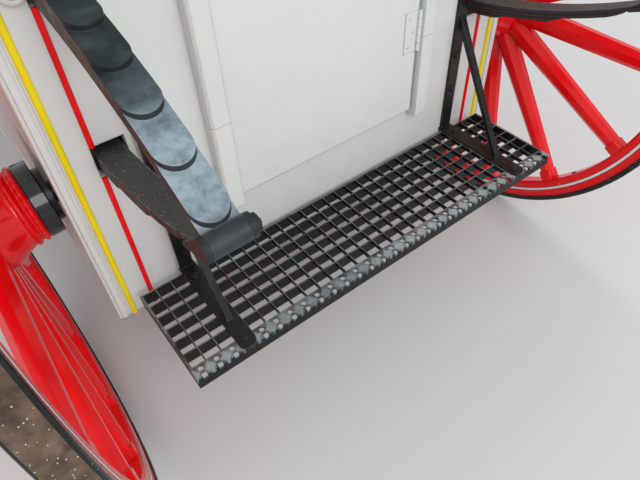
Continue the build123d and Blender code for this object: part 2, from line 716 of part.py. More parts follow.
# Bed of the fore-carriage, with the lower ring and the two bars that hold the drawbar
low_ring_top = ring_z - ring_t - ring_gap
lower_ring = Pos(0, front_axle_y, low_ring_top - ring_t / 2) * (
    Cylinder(ring_r, ring_t) - Cylinder(ring_r - ring_w, 2 * ring_t))
bed_top = low_ring_top - ring_t
bed_half_l = front_spring_x + leaf_w / 2 + 20
bed = slab(-bed_half_l, bed_half_l, front_axle_y - bed_w / 2, front_axle_y + bed_w / 2,
           bed_top - bed_h, bed_top)
bars = []
for s in (-1, 1):
    x0 = s * futchell_x - futchell_w / 2
    bar = slab(x0, x0 + futchell_w, front_axle_y - ring_r, pivot_y, bed_top - futchell_h, bed_top)
    lug = rod_x(futchell_h / 2, x0, x0 + futchell_w, pivot_y, pivot_z)
    lug_web = slab(x0, x0 + futchell_w, pivot_y - futchell_h / 2, pivot_y + futchell_h / 2,
                   pivot_z, bed_top)
    bars += [bar, lug, lug_web]
bed = fuse([bed, lower_ring] + bars)
bed -= rod_z(kingpin_r + pin_clear, bed_top - bed_h - 1, bed_top + 1, 0, front_axle_y)
bed -= rod_x(drawbar_pin_r + pin_clear, -2 * futchell_x, 2 * futchell_x, pivot_y, pivot_z)
save(bed, "fore_carriage_bed")

# Front springs and axle
front_high_stack = (len(front_steps_upper) + 1) * leaf_t
front_low_stack = (len(front_steps_lower) + 1) * leaf_t
front_upper_top = bed_top - bed_h
front_eye_z = front_upper_top - front_high_stack - front_spring_sag
save(placed_springs(lower_half, front_spring_half, front_spring_sag, front_steps_lower,
                    front_spring_x, front_axle_y, front_eye_z, False), "front_springs_lower")
save(placed_springs(upper_half, front_spring_half, front_spring_sag, front_steps_upper,
                    front_spring_x, front_axle_y, front_eye_z, True), "front_springs_upper")
front_low = front_eye_z - front_spring_sag - front_low_stack
front_z = hub_height(front_wheel_r, front_wheel_x - front_spring_x)
front_in = front_wheel_x - front_spring_x - leaf_w
front_beam = slab(-front_spring_x - leaf_w, front_spring_x + leaf_w, front_axle_y - half_beam,
                  front_axle_y + half_beam, front_z - half_beam, front_z + half_beam)
front_pad = slab(front_spring_x - leaf_w / 2, front_spring_x + leaf_w / 2,
                 front_axle_y - half_beam, front_axle_y + half_beam,
                 front_z + half_beam - 1, front_low)
front_arm = fuse(arm(front_wheel_r, front_wheel_x, front_axle_y, front_in))
save(fuse([front_beam] + both(front_pad) + both(front_arm)), "front_axle")

# Drawbar, drawn lying level from its pin, then lowered to its rest on the ground
fork_half = futchell_x - futchell_w / 2 - fork_gap
fork = []
for s in (-1, 1):
    fork.append(slab(s * fork_half, s * (fork_half - fork_bar_w), -fork_bar_w, fork_len - fork_bridge / 2,
                     -drawbar_h / 2, drawbar_h / 2))
fork.append(slab(-fork_half, fork_half, fork_len - fork_bridge, fork_len, -drawbar_h / 2, drawbar_h / 2))
pole = slab(-drawbar_w / 2, drawbar_w / 2, fork_len - fork_bridge, drawbar_len - eye_out_r,
            -drawbar_h / 2, drawbar_h / 2)
pin = rod_x(drawbar_pin_r, -futchell_x - futchell_w / 2 - 12, futchell_x + futchell_w / 2 + 12)
at_rest = Pos(0, pivot_y, pivot_z) * Rot(-rest_angle, 0, 0)
save(at_rest * fuse(fork + [pole, pin]), "drawbar")
tow_eye = rod_z(eye_out_r, -tow_eye_t / 2, tow_eye_t / 2, 0, drawbar_len)
tow_eye = tow_eye.fuse(slab(-drawbar_w / 2 + 8, drawbar_w / 2 - 8, drawbar_len - eye_out_r,
                            drawbar_len, -tow_eye_t / 2, tow_eye_t / 2))
tow_eye -= rod_z(tow_eye_r, -tow_eye_t, tow_eye_t, 0, drawbar_len)
save(at_rest * tow_eye, "tow_eye")

# Canopy: posts, rails, arched roof and scalloped boards
post_ys = (post_in, bow_front_y - post_in)
rail_bottom = roof_z - roof_rail_h
roof_in = roof_half_w - 1.2 * roof_t
post_h = rail_bottom - counter_top
# Turned post, one row for each change of its outline: share of height, radius
post_rows = ((0.0, 1.0), (0.12, 1.0), (0.13, 0.7), (0.16, 1.05), (0.19, 0.7), (0.5, 0.95),
             (0.82, 0.7), (0.85, 1.05), (0.88, 0.7), (0.89, 1.0), (1.0, 1.0))
post_points = [(0, 0)] + [(post_r * k, post_h * share) for share, k in post_rows] + [(0, post_h)]
post = revolve(make_face(Plane.XZ * Polyline(*post_points, close=True)), Axis.Z)
save([Pos(s * post_x, y, counter_top) * post for s in (-1, 1) for y in post_ys], "posts")
rails = [slab(s * post_x - roof_rail_w / 2, s * post_x + roof_rail_w / 2,
              post_ys[0] - roof_rail_w, post_ys[1] + roof_rail_w, rail_bottom, roof_z)
         for s in (-1, 1)]
rails += [slab(-post_x, post_x, y - roof_rail_w / 2, y + roof_rail_w / 2, rail_bottom, roof_z)
          for y in post_ys]

roof_y0 = -roof_over
roof_y1 = bow_front_y + roof_over
with BuildSketch(Plane.XZ.offset(-roof_y0)) as roof_section:
    with BuildLine():
        ThreePointArc((-roof_half_w, roof_z), (0, roof_z + roof_rise), (roof_half_w, roof_z))
        Line((roof_half_w, roof_z), (-roof_half_w, roof_z))
    make_face()
roof = extrude(roof_section.sketch, amount=-(roof_y1 - roof_y0))
with BuildSketch(Plane.XZ.offset(-roof_y0 + 1)) as roof_hollow:
    with BuildLine():
        ThreePointArc((-roof_in, roof_z), (0, roof_z + roof_rise - roof_t), (roof_in, roof_z))
        Line((roof_in, roof_z), (-roof_in, roof_z))
    make_face()
roof -= extrude(roof_hollow.sketch, amount=-(roof_y1 - roof_y0 + 2))
save(roof, "roof")
# Ribs that carry the roof on the rails
rib_cut = Pos(0, 0, -rib_depth) * extrude(roof_hollow.sketch, amount=-(roof_y1 - roof_y0 + 2))
for y in (post_ys[0], (post_ys[0] + post_ys[1]) / 2, post_ys[1]):
    rib = extrude(roof_hollow.sketch, amount=-(roof_y1 - roof_y0 + 2)) - rib_cut
    rails.append(rib & slab(-roof_half_w, roof_half_w, y - rib_t / 2, y + rib_t / 2,
                            roof_z, roof_z + roof_rise))
save(fuse(rails), "roof_rails")


def scalloped(length, count):
    """A board from 0 to length along X, hanging down from Z = 0 with a scalloped edge."""
    step = length / count
    straight = valance_h - scallop_depth
    board = slab(0, length, 0, valance_t, -straight, 0)
    r = (step ** 2 / 4 + scallop_depth ** 2) / (2 * scallop_depth)
    tongues = []
    for i in range(count):
        disc = Pos((i + 0.5) * step, valance_t / 2, -valance_h + r) * Rot(90, 0, 0) \
            * Cylinder(r, valance_t)
        keep = slab(i * step, (i + 1) * step, 0, valance_t, -valance_h, -straight)
        tongues.append(disc & keep)
    return fuse([board] + tongues)


long_board = scalloped(roof_y1 - roof_y0 - 2 * valance_t, side_scallop_count)
long_board = Pos(roof_in, roof_y0 + valance_t, roof_z) * Rot(0, 0, 90) \
    * Pos(0, -valance_t, 0) * long_board
short_board = Pos(-roof_in - valance_t, 0, 0) * scalloped(2 * (roof_in + valance_t), end_scallop_count)
short_boards = [Pos(0, y, roof_z) * short_board for y in (roof_y0, roof_y1 - valance_t)]
save(fuse(both(long_board) + short_boards), "valance")

print("shift", round(y_shift, 3), "rest angle", round(rest_angle, 3), "pivot", pivot_y, pivot_z)
print("rear eye", rear_eye_z, "low slot", low_slot, "high slot", high_slot)
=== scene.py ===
import json
import math

import bpy
from mathutils import Matrix, Vector


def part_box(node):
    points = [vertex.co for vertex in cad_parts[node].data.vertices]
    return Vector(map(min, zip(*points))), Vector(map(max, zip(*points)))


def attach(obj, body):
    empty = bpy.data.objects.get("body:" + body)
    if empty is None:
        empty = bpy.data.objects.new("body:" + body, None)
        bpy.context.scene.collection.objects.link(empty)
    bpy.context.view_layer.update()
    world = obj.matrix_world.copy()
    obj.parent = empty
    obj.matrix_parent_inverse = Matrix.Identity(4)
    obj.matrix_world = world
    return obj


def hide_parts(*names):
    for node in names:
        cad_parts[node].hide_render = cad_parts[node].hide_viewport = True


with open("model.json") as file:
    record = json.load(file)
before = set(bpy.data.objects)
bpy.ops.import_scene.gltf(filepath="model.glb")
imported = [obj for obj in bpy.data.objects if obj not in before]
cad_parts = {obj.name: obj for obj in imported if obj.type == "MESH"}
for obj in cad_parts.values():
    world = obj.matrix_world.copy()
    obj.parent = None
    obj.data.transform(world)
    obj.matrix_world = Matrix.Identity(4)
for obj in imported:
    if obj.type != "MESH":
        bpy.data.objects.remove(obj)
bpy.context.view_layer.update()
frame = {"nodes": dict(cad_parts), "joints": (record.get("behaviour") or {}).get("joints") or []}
nodes = frame["nodes"]

# Camera: at chest height behind the cart's left rear wheel, looking down at the step. Its
# place is measured from the rear wall's face and the ground.
rear_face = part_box("rear_wall")[0].y
eye = Vector((-0.6035, rear_face - 0.7976, 1.2686))
cam_right = Vector((0.7922, -0.6093, -0.0342))
cam_ahead = Vector((0.3967, 0.5566, -0.7299))
cam_up = cam_right.cross(cam_ahead).normalized()
cam_right = cam_ahead.cross(cam_up).normalized()
camera = bpy.data.objects.new("camera", bpy.data.cameras.new("camera"))
bpy.context.scene.collection.objects.link(camera)
turn = Matrix((cam_right, cam_up, -cam_ahead.normalized())).transposed()
camera.matrix_world = Matrix.Translation(eye) @ turn.to_4x4()
camera.data.sensor_width = 36.0
camera.data.lens = 31.23
camera.data.clip_start = 0.02
bpy.context.scene.camera = camera

# Studio: a plain pale floor under a plain pale sky that is a little brighter overhead,
# and two soft lamps, one behind the cart and one in front of it.
bpy.context.scene.view_settings.view_transform = "Standard"
bpy.ops.object.select_all(action="DESELECT")
bpy.ops.mesh.primitive_plane_add(size=40.0, location=(0, 0, -0.0005))
ground = bpy.context.object
ground.name = "studio_floor"
ground_paint = bpy.data.materials.new("studio_floor")
ground_paint.use_nodes = True
ground_shader = ground_paint.node_tree.nodes["Principled BSDF"]
ground_shader.inputs["Base Color"].default_value = (0.62, 0.62, 0.61, 1)
ground_shader.inputs["Roughness"].default_value = 0.9
ground.data.materials.append(ground_paint)
world = bpy.data.worlds.new("studio")
world.use_nodes = True
sky = world.node_tree
direction = sky.nodes.new("ShaderNodeTexCoord")
height = sky.nodes.new("ShaderNodeSeparateXYZ")
sky.links.new(direction.outputs["Generated"], height.inputs["Vector"])
level = sky.nodes.new("ShaderNodeMapRange")
sky.links.new(height.outputs["Z"], level.inputs["Value"])
level.inputs["From Max"].default_value = 0.7
level.inputs["To Min"].default_value = 0.92
level.inputs["To Max"].default_value = 1.0
sky.links.new(level.outputs["Result"], sky.nodes["Background"].inputs["Strength"])
sky.nodes["Background"].inputs["Color"].default_value = (0.93, 0.96, 1.0, 1)
bpy.context.scene.world = world


def soft_lamp(name, place, aim, size, power):
    lamp = bpy.data.objects.new(name, bpy.data.lights.new(name, "AREA"))
    lamp.data.size = size
    lamp.data.energy = power
    lamp.location = place
    lamp.rotation_euler = (Vector(aim) - Vector(place)).to_track_quat("-Z", "Y").to_euler()
    bpy.context.scene.collection.objects.link(lamp)


soft_lamp("sky_rear", (-0.4, rear_face - 4.2, 3.2), (0, rear_face, 0.5), 2.6, 95)
soft_lamp("sky_front", (3.0, 4.5, 5.5), (0, 1.0, 0.8), 3.0, 110)


# Body walls. Sheet panels on a wooden frame, primed and sprayed in off-white gloss that
# has gathered a little road dirt low down and a few specks of grit.
def node_group(name, inputs, outputs):
    group = bpy.data.node_groups.new(name, "ShaderNodeTree")
    for label, kind, value in inputs:
        socket = group.interface.new_socket(label, in_out="INPUT", socket_type=kind)
        socket.default_value = value
    for label, kind in outputs:
        group.interface.new_socket(label, in_out="OUTPUT", socket_type=kind)
    start = group.nodes.new("NodeGroupInput")
    end = group.nodes.new("NodeGroupOutput")
    return group, start.outputs, end.inputs


def add(tree, kind, **settings):
    """A new node. A setting that is one of its sockets gets a value or a link, and i with a
    number is a socket by its place in the row."""
    node = tree.nodes.new(kind)
    for label, value in settings.items():
        if hasattr(node, label):
            setattr(node, label, value)
            continue
        numbered = label[0] == "i" and label[1:].isdigit()
        socket = node.inputs[int(label[1:])] if numbered else node.inputs[label.replace("_", " ")]
        if isinstance(value, bpy.types.NodeSocket):
            tree.links.new(value, socket)
        else:
            socket.default_value = value
    return node


def sums(tree, operation, a, b=0.0, clamp=False):
    """One step of arithmetic between two numbers or sockets."""
    return add(tree, "ShaderNodeMath", operation=operation, use_clamp=clamp, i0=a, i1=b).outputs[0]


def remap(tree, value, **limits):
    """A value carried from one range to another and kept inside it."""
    return add(tree, "ShaderNodeMapRange", Value=value, **limits).outputs["Result"]


def blend(tree, share, a, b, kind="MIX"):
    """Two colours, or sockets that give one, mixed by a share."""
    a, b = [tone if isinstance(tone, bpy.types.NodeSocket) else (*tone, 1) for tone in (a, b)]
    return add(tree, "ShaderNodeMix", data_type="RGBA", blend_type=kind, i0=share, i6=a, i7=b).outputs[2]


def noise(tree, where, scale, detail=2.0, roughness=0.5, **more):
    """Soft blots over a place, from 0 to 1."""
    return add(tree, "ShaderNodeTexNoise", Vector=where, Scale=scale, Detail=detail,
               Roughness=roughness, **more).outputs["Fac"]


def part_place(tree):
    """A point's place on the part."""
    return add(tree, "ShaderNodeTexCoord").outputs["Object"]


def xyz(tree, vector):
    """The three sockets X, Y and Z of a vector."""
    return add(tree, "ShaderNodeSeparateXYZ", Vector=vector).outputs


COLOUR, NUMBER, VECTOR = "NodeSocketColor", "NodeSocketFloat", "NodeSocketVector"

# Rubbed edges: where a corner is sharp, and a noise allows it, the paint is worn through
rubbed, given, result = node_group(
    "rubbed_edges",
    [("Reach", NUMBER, 0.004), ("Amount", NUMBER, 0.5), ("Patch Scale", NUMBER, 60.0)],
    [("Mask", NUMBER), ("Normal", VECTOR)])
rounded = add(rubbed, "ShaderNodeBevel", samples=6, Radius=given["Reach"]).outputs["Normal"]
geometry = add(rubbed, "ShaderNodeNewGeometry")
alike = add(rubbed, "ShaderNodeVectorMath", operation="DOT_PRODUCT", i0=rounded,
            i1=geometry.outputs["Normal"])
sharp = remap(rubbed, alike.outputs["Value"], From_Min=0.995, From_Max=0.80)
patches = noise(rubbed, part_place(rubbed), given["Patch Scale"], 6.0, 0.65)
worn_mask = sums(rubbed, "MULTIPLY", sharp, remap(rubbed, patches, From_Min=0.62, From_Max=0.38))
worn_mask = sums(rubbed, "MULTIPLY", worn_mask, given["Amount"], clamp=True)
rubbed.links.new(worn_mask, result["Mask"])
rubbed.links.new(rounded, result["Normal"])

# Drift: a colour that wanders between two tones in soft blots
drift, given, result = node_group(
    "drift",
    [("Tone A", COLOUR, (1, 1, 1, 1)), ("Tone B", COLOUR, (0, 0, 0, 1)), ("Scale", NUMBER, 8.0),
     ("Low", NUMBER, 0.35), ("High", NUMBER, 0.65)],
    [("Color", COLOUR), ("Mask", NUMBER)])
blots = noise(drift, part_place(drift), given["Scale"], 7.0, 0.6)
cut = remap(drift, blots, From_Min=given["Low"], From_Max=given["High"])
drift.links.new(blend(drift, cut, given["Tone A"], given["Tone B"]), result["Color"])
drift.links.new(cut, result["Mask"])

# Grit: small round specks scattered over a surface, a share of them left out
grit, given, result = node_group(
    "grit", [("Scale", NUMBER, 60.0), ("Size", NUMBER, 0.12), ("Share", NUMBER, 0.3)], [("Mask", NUMBER)])
cells = add(grit, "ShaderNodeTexVoronoi", Vector=part_place(grit), Scale=given["Scale"])
near = sums(grit, "LESS_THAN", cells.outputs["Distance"], given["Size"])
tint = add(grit, "ShaderNodeSeparateColor", Color=cells.outputs["Color"])
chosen = sums(grit, "LESS_THAN", tint.outputs["Red"], given["Share"])
grit.links.new(sums(grit, "MULTIPLY", near, chosen), result["Mask"])

# Road dirt: thickest at the lowest height and gone at the highest, in cloudy patches
road_dirt, given, result = node_group(
    "road_dirt", [("Low", NUMBER, 0.3), ("High", NUMBER, 0.7), ("Amount", NUMBER, 0.4)], [("Mask", NUMBER)])
where = part_place(road_dirt)
fall = remap(road_dirt, xyz(road_dirt, where)["Z"], From_Min=given["High"], From_Max=given["Low"])
clouds = remap(road_dirt, noise(road_dirt, where, 9.0, 8.0, 0.7), From_Min=0.4, From_Max=0.75)
film = sums(road_dirt, "MULTIPLY", fall, clouds)
road_dirt.links.new(sums(road_dirt, "MULTIPLY", film, given["Amount"], clamp=True), result["Mask"])


def finish(name, tone_a, tone_b, rough, scale=7.0, spread=(0.35, 0.65), metal=0.0, coat=0.0, worn=None,
           wear=0.0, wear_reach=0.004, wear_scale=60.0, specks=None, speck_size=0.1, speck_share=0.2,
           speck_scale=80.0, dirt=0.0, dirt_tone=(0.2, 0.17, 0.13), dirt_top=0.7, bump=0.1,
           bump_scale=300.0, bump_depth=0.0006, gloss=0.5):
    """A surface in two drifting tones, with specks, road dirt, rubbed edges and a fine relief."""
    material = bpy.data.materials.new(name)
    material.use_nodes = True
    tree = material.node_tree
    shader = tree.nodes["Principled BSDF"]
    tones = add(tree, "ShaderNodeGroup", node_tree=drift, Tone_A=(*tone_a, 1), Tone_B=(*tone_b, 1),
                Scale=scale, Low=spread[0], High=spread[1])
    colour = tones.outputs["Color"]
    roughness = remap(tree, tones.outputs["Mask"], To_Min=rough * 0.85, To_Max=rough * 1.2)
    if specks:
        dots = add(tree, "ShaderNodeGroup", node_tree=grit, Scale=speck_scale, Size=speck_size,
                   Share=speck_share)
        colour = blend(tree, dots.outputs["Mask"], colour, specks)
    if dirt:
        film = add(tree, "ShaderNodeGroup", node_tree=road_dirt, High=dirt_top, Amount=dirt)
        colour = blend(tree, film.outputs["Mask"], colour, dirt_tone)
        duller = sums(tree, "MULTIPLY", film.outputs["Mask"], 0.4)
        roughness = sums(tree, "ADD", roughness, duller, clamp=True)
    edges = add(tree, "ShaderNodeGroup", node_tree=rubbed, Reach=wear_reach, Amount=wear,
                Patch_Scale=wear_scale)
    if worn:
        colour = blend(tree, edges.outputs["Mask"], colour, worn)
    tree.links.new(colour, shader.inputs["Base Color"])
    tree.links.new(roughness, shader.inputs["Roughness"])
    shader.inputs["Metallic"].default_value = metal
    shader.inputs["Specular IOR Level"].default_value = gloss
    shader.inputs["Coat Weight"].default_value = coat
    shader.inputs["Coat Roughness"].default_value = 0.08
    raised = add(tree, "ShaderNodeBump", Strength=bump, Distance=bump_depth,
                 Height=noise(tree, part_place(tree), bump_scale, 4.0), Normal=edges.outputs["Normal"])
    tree.links.new(raised.outputs["Normal"], shader.inputs["Normal"])
    return material


def so_far(material):
    """What a further layer starts from: the tree, its shader, the colour up to now and the
    place on the part."""
    tree = material.node_tree
    shader = tree.nodes["Principled BSDF"]
    return tree, shader, shader.inputs["Base Color"].links[0].from_socket, part_place(tree)


def coat_nodes(material, *names):
    """A CAD node, or several, painted all over with one material."""
    for name in names:
        nodes[name].data.materials.clear()
        nodes[name].data.materials.append(material)


white_gloss = finish("white_gloss", (0.62, 0.64, 0.615), (0.665, 0.68, 0.655), 0.33, scale=2.2, coat=0.25,
                     worn=(0.40, 0.38, 0.34), wear=0.18, specks=(0.12, 0.11, 0.10), speck_size=0.05,
                     speck_share=0.045, speck_scale=26.0, dirt=0.22, bump=0.10, bump_scale=110)
coat_nodes(white_gloss, "rear_wall", "rear_quarters", "side_walls", "spring_boxes", "bulkhead",
           "bow_sides", "bow_front")


def spot(x, y, z):
    """A place from the cart's middle plane, the rear wall's face and the ground."""
    return Vector((x, rear_face + y, z))


def settle(piece, name, body, slot, *materials):
    """The piece is named, finished and fixed to its body."""
    piece.name = name
    piece.data.name = name
    if materials:
        piece.data.materials.clear()
    for material in materials:
        piece.data.materials.append(material)
    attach(piece, body)
    return piece


def apply_place():
    bpy.ops.object.transform_apply(location=True, rotation=True, scale=True)


def block(low, high, edge=0.001, steps=2):
    """A squared bar between two corners, its edges taken off."""
    bpy.ops.object.select_all(action="DESELECT")
    low, high = Vector(low), Vector(high)
    bpy.ops.mesh.primitive_cube_add(size=1, location=(low + high) / 2)
    piece = bpy.context.object
    piece.scale = [abs(b - a) for a, b in zip(low, high)]
    apply_place()
    bpy.ops.object.mode_set(mode="EDIT")
    bpy.ops.mesh.select_all(action="SELECT")
    bpy.ops.mesh.bevel(offset=edge, segments=steps, affect="EDGES")
    bpy.ops.object.mode_set(mode="OBJECT")
    return piece


def turned(rings, sides=48, smooth=35.0):
    """A piece turned about X, (place along X, radius) for each ring. A first ring that is
    also the last makes a closed hoop."""
    bpy.ops.object.select_all(action="DESELECT")
    hoop = rings[0] == rings[-1]
    x, radius = rings[0]
    bpy.ops.mesh.primitive_circle_add(vertices=sides, radius=radius, location=(x, 0, 0),
                                      fill_type="NOTHING" if hoop else "NGON", rotation=(0, math.pi / 2, 0))
    piece = bpy.context.object
    apply_place()
    bpy.ops.object.mode_set(mode="EDIT")
    bpy.ops.mesh.select_all(action="SELECT")
    for next_x, next_radius in rings[1:]:
        bpy.ops.mesh.extrude_region_move(TRANSFORM_OT_translate={"value": (next_x - x, 0, 0)})
        scale = next_radius / radius
        bpy.ops.transform.resize(value=(1, scale, scale), center_override=(next_x, 0, 0))
        x, radius = next_x, next_radius
    bpy.ops.mesh.select_all(action="SELECT")
    bpy.ops.mesh.remove_doubles(threshold=0.00002)
    bpy.ops.mesh.normals_make_consistent(inside=False)
    bpy.ops.object.mode_set(mode="OBJECT")
    bpy.ops.object.shade_smooth_by_angle(angle=math.radians(smooth))
    return piece


def stand(point, out):
    """A place at the point whose X axis looks along out."""
    return Matrix.Translation(point) @ Vector(out).to_track_quat("X", "Z").to_matrix().to_4x4()


def joined(pieces):
    """Several pieces made one."""
    bpy.ops.object.select_all(action="DESELECT")
    for piece in pieces:
        piece.select_set(True)
    bpy.context.view_layer.objects.active = pieces[0]
    if len(pieces) > 1:
        bpy.ops.object.join()
    return bpy.context.object


def copies(model, places):
    """The model copied to each place, all joined as one piece. The model itself goes."""
    made = []
    for where in places:
        one = model.copy()
        one.data = model.data.copy()
        bpy.context.scene.collection.objects.link(one)
        one.matrix_world = where
        made.append(one)
    bpy.data.objects.remove(model)
    piece = joined(made)
    apply_place()
    return piece


def lining(centre, across, up, width, height, corner, line, lift=0.0005):
    """A painted line round a panel: a thin raised ring with rounded corners."""
    bpy.ops.object.select_all(action="DESELECT")
    bpy.ops.mesh.primitive_plane_add(size=1)
    piece = bpy.context.object
    piece.scale = (width, height, 1)
    apply_place()
    bpy.ops.object.mode_set(mode="EDIT")
    bpy.ops.mesh.select_all(action="SELECT")
    bpy.ops.mesh.bevel(offset=corner, segments=8, affect="VERTICES")
    bpy.ops.mesh.select_all(action="SELECT")
    bpy.ops.mesh.inset(thickness=line)
    bpy.ops.mesh.delete(type="FACE")
    bpy.ops.mesh.select_all(action="SELECT")
    bpy.ops.mesh.extrude_region_move(TRANSFORM_OT_translate={"value": (0, 0, lift)})
    bpy.ops.mesh.select_all(action="SELECT")
    bpy.ops.mesh.normals_make_consistent(inside=False)
    bpy.ops.object.mode_set(mode="OBJECT")
    across, up = Vector(across), Vector(up)
    facing = Matrix((across, up, across.cross(up))).transposed().to_4x4()
    piece.matrix_world = Matrix.Translation(centre) @ facing
    apply_place()
    return piece


# Corner strips. A rounded wooden strip with a step in it covers each rear corner of the
# body, glued and pinned over the joint of the rear and side panels.
wall_low, wall_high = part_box("side_walls")
corner_half = wall_high.x
sides = (("left", -1), ("right", 1))
for side, s in sides:
    # name, from and to across, from and to along the cart, rise of its foot, edge, steps
    for name, x0, x1, y0, y1, foot, edge, steps in (
            ("bead", -0.0165, -0.0045, 0.0085, 0.0125, 0.0, 0.0018, 3),
            ("strip", -0.0050, 0.0016, 0.0098, 0.0230, 0.001, 0.003, 4)):
        strip = block(spot(s * (corner_half + x0), y0, wall_low.z + foot),
                      spot(s * (corner_half + x1), y1, wall_high.z), edge, steps)
        settle(strip, f"corner_{name}_{side}", "cart", "white", white_gloss)

# Lining. Coach painter's lines run round the side panels with a lining brush, a fine red
# one outside and a broader yellow one inside, on the well and on the bow alike.
line_red = finish("line_red", (0.55, 0.01, 0.02), (0.62, 0.02, 0.03), 0.3, coat=0.3, bump=0.05)
line_yellow = finish("line_yellow", (0.72, 0.56, 0.05), (0.80, 0.64, 0.08), 0.35, coat=0.2, bump=0.05)
bow_low, bow_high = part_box("bow_sides")
axle_y = 0.130           # the rear wall's face to the rear axle
notch_half = 0.080       # room that the lines leave for the notch over the axle
notch_top = 0.715
line_margin = 0.03       # a panel's edge to its red line
yellow_in = 0.065        # the red line to the yellow one
line_corner = 0.04


def carved(piece, cutter):
    """The cutter's space taken out of the piece. The cutter goes."""
    cut = piece.modifiers.new("cut", "BOOLEAN")
    cut.operation = "DIFFERENCE"
    cut.object = cutter
    bpy.context.view_layer.objects.active = piece
    bpy.ops.object.modifier_apply(modifier="cut")
    bpy.data.objects.remove(cutter)
    return piece


def panel_line(name, side_x, y0, y1, z0, z1, width, paint, slot):
    """A line round a side panel between two places along the cart and two heights."""
    s = 1 if side_x > 0 else -1
    ring = lining((side_x, (y0 + y1) / 2, (z0 + z1) / 2), (0, s, 0), (0, 0, 1), y1 - y0, z1 - z0,
                  line_corner, width)
    if y0 < rear_face + axle_y:
        notch = block(spot(side_x - 0.01, axle_y - notch_half, 0.2),
                      spot(side_x + 0.01, axle_y + notch_half, notch_top), edge=0.001, steps=1)
        carved(ring, notch)
    settle(ring, name, "cart", slot, paint)


for side, s in sides:
    face, top = s * corner_half, wall_high.z - line_margin
    # panel, rear end, front end, foot of the red line, foot of the yellow one
    for panel, y0, y1, red_foot, yellow_foot in (
            ("well", rear_face + 0.027, wall_high.y - line_margin, 0.400, 0.530),
            ("bow", bow_low.y + line_margin, bow_high.y - line_margin, 0.970, 1.035)):
        panel_line(f"lining_red_{panel}_{side}", face, y0, y1, red_foot, top, 0.0035, line_red, "red")
        panel_line(f"lining_yellow_{panel}_{side}", face, y0 + yellow_in, y1 - yellow_in, yellow_foot,
                   top - yellow_in, 0.006, line_yellow, "yellow")


# Boards beside the door. Planed wooden boards screwed to the rear wall, each scarfed from
# two lengths, so a fine joint shows across the paint.
board_white = finish("board_white", (0.62, 0.64, 0.61), (0.67, 0.685, 0.655), 0.33, scale=3.0, coat=0.25,
                     worn=(0.42, 0.40, 0.35), wear=0.2, dirt=0.2, bump=0.12, bump_scale=140)
scarf_z, scarf_waver, scarf_half = 0.6938, 0.0016, 0.00045
tree, shader, colour, where = so_far(board_white)
bent = sums(tree, "SUBTRACT", sums(tree, "MULTIPLY", noise(tree, where, 60.0), scarf_waver), scarf_z)
off = sums(tree, "ABSOLUTE", sums(tree, "ADD", xyz(tree, where)["Z"], bent))
scarfed = blend(tree, sums(tree, "LESS_THAN", off, scarf_half), colour, (0.27, 0.26, 0.23))
tree.links.new(scarfed, shader.inputs["Base Color"])
coat_nodes(board_white, "rear_stiles", "capping")

# Beads. Half-round wooden beads pinned to the rear corners and brush painted, red beside
# the spring and yellow at the outer edge.
red_gloss = finish("red_gloss", (0.78, 0.0015, 0.003), (0.90, 0.003, 0.006), 0.2, scale=5.0, coat=0.22,
                   worn=(0.24, 0.01, 0.01), wear=0.22, wear_reach=0.003, specks=(0.9, 0.4, 0.4),
                   speck_size=0.07, speck_share=0.05, speck_scale=45.0, dirt=0.10, bump=0.12,
                   bump_scale=60.0, gloss=0.2)
bead_red = finish("bead_red", (0.72, 0.002, 0.004), (0.84, 0.004, 0.008), 0.3, scale=14.0, coat=0.08,
                  worn=(0.2, 0.02, 0.02), wear=0.3, wear_reach=0.002, bump=0.15, bump_scale=180, gloss=0.2)
bead_yellow = finish("bead_yellow", (0.78, 0.62, 0.002), (0.88, 0.71, 0.006), 0.34, scale=10.0, coat=0.05,
                     worn=(0.42, 0.33, 0.08), wear=0.25, wear_reach=0.002, dirt=0.12, bump=0.12,
                     bump_scale=160, gloss=0.25)
coat_nodes(bead_red, "beads_red")
coat_nodes(bead_yellow, "beads_yellow")

# Reflectors. A small red glass in a white round housing on each rear corner, at the height
# of the upper spring slot.
glass_red = finish("reflector_red", (0.45, 0.004, 0.01), (0.6, 0.01, 0.02), 0.12, scale=200.0, coat=0.9,
                   bump=0.6, bump_scale=900.0, gloss=0.7)
housing_white = finish("housing_white", (0.62, 0.62, 0.60), (0.68, 0.68, 0.66), 0.2, scale=9.0, coat=0.5,
                       bump=0.04)
reflector_x, reflector_y, reflector_z = 0.4895, 0.012, 0.9880
for side, s in sides:
    at = stand(spot(s * reflector_x, reflector_y, reflector_z), (0, -1, 0))
    housing = turned([(-0.001, 0.0205), (0.006, 0.0212), (0.010, 0.0203), (0.0125, 0.0175), (0.0132, 0.0145),
                      (0.0118, 0.0128), (0.0104, 0.0122)], sides=40)
    settle(copies(housing, [at]), f"reflector_housing_{side}", "cart", "white", housing_white)
    lens = turned([(0.009, 0.0123), (0.0118, 0.0112), (0.0134, 0.0082), (0.0142, 0.0042), (0.0144, 0.0008)],
                  sides=32)
    settle(copies(lens, [at]), f"reflector_glass_{side}", "cart", "red", glass_red)


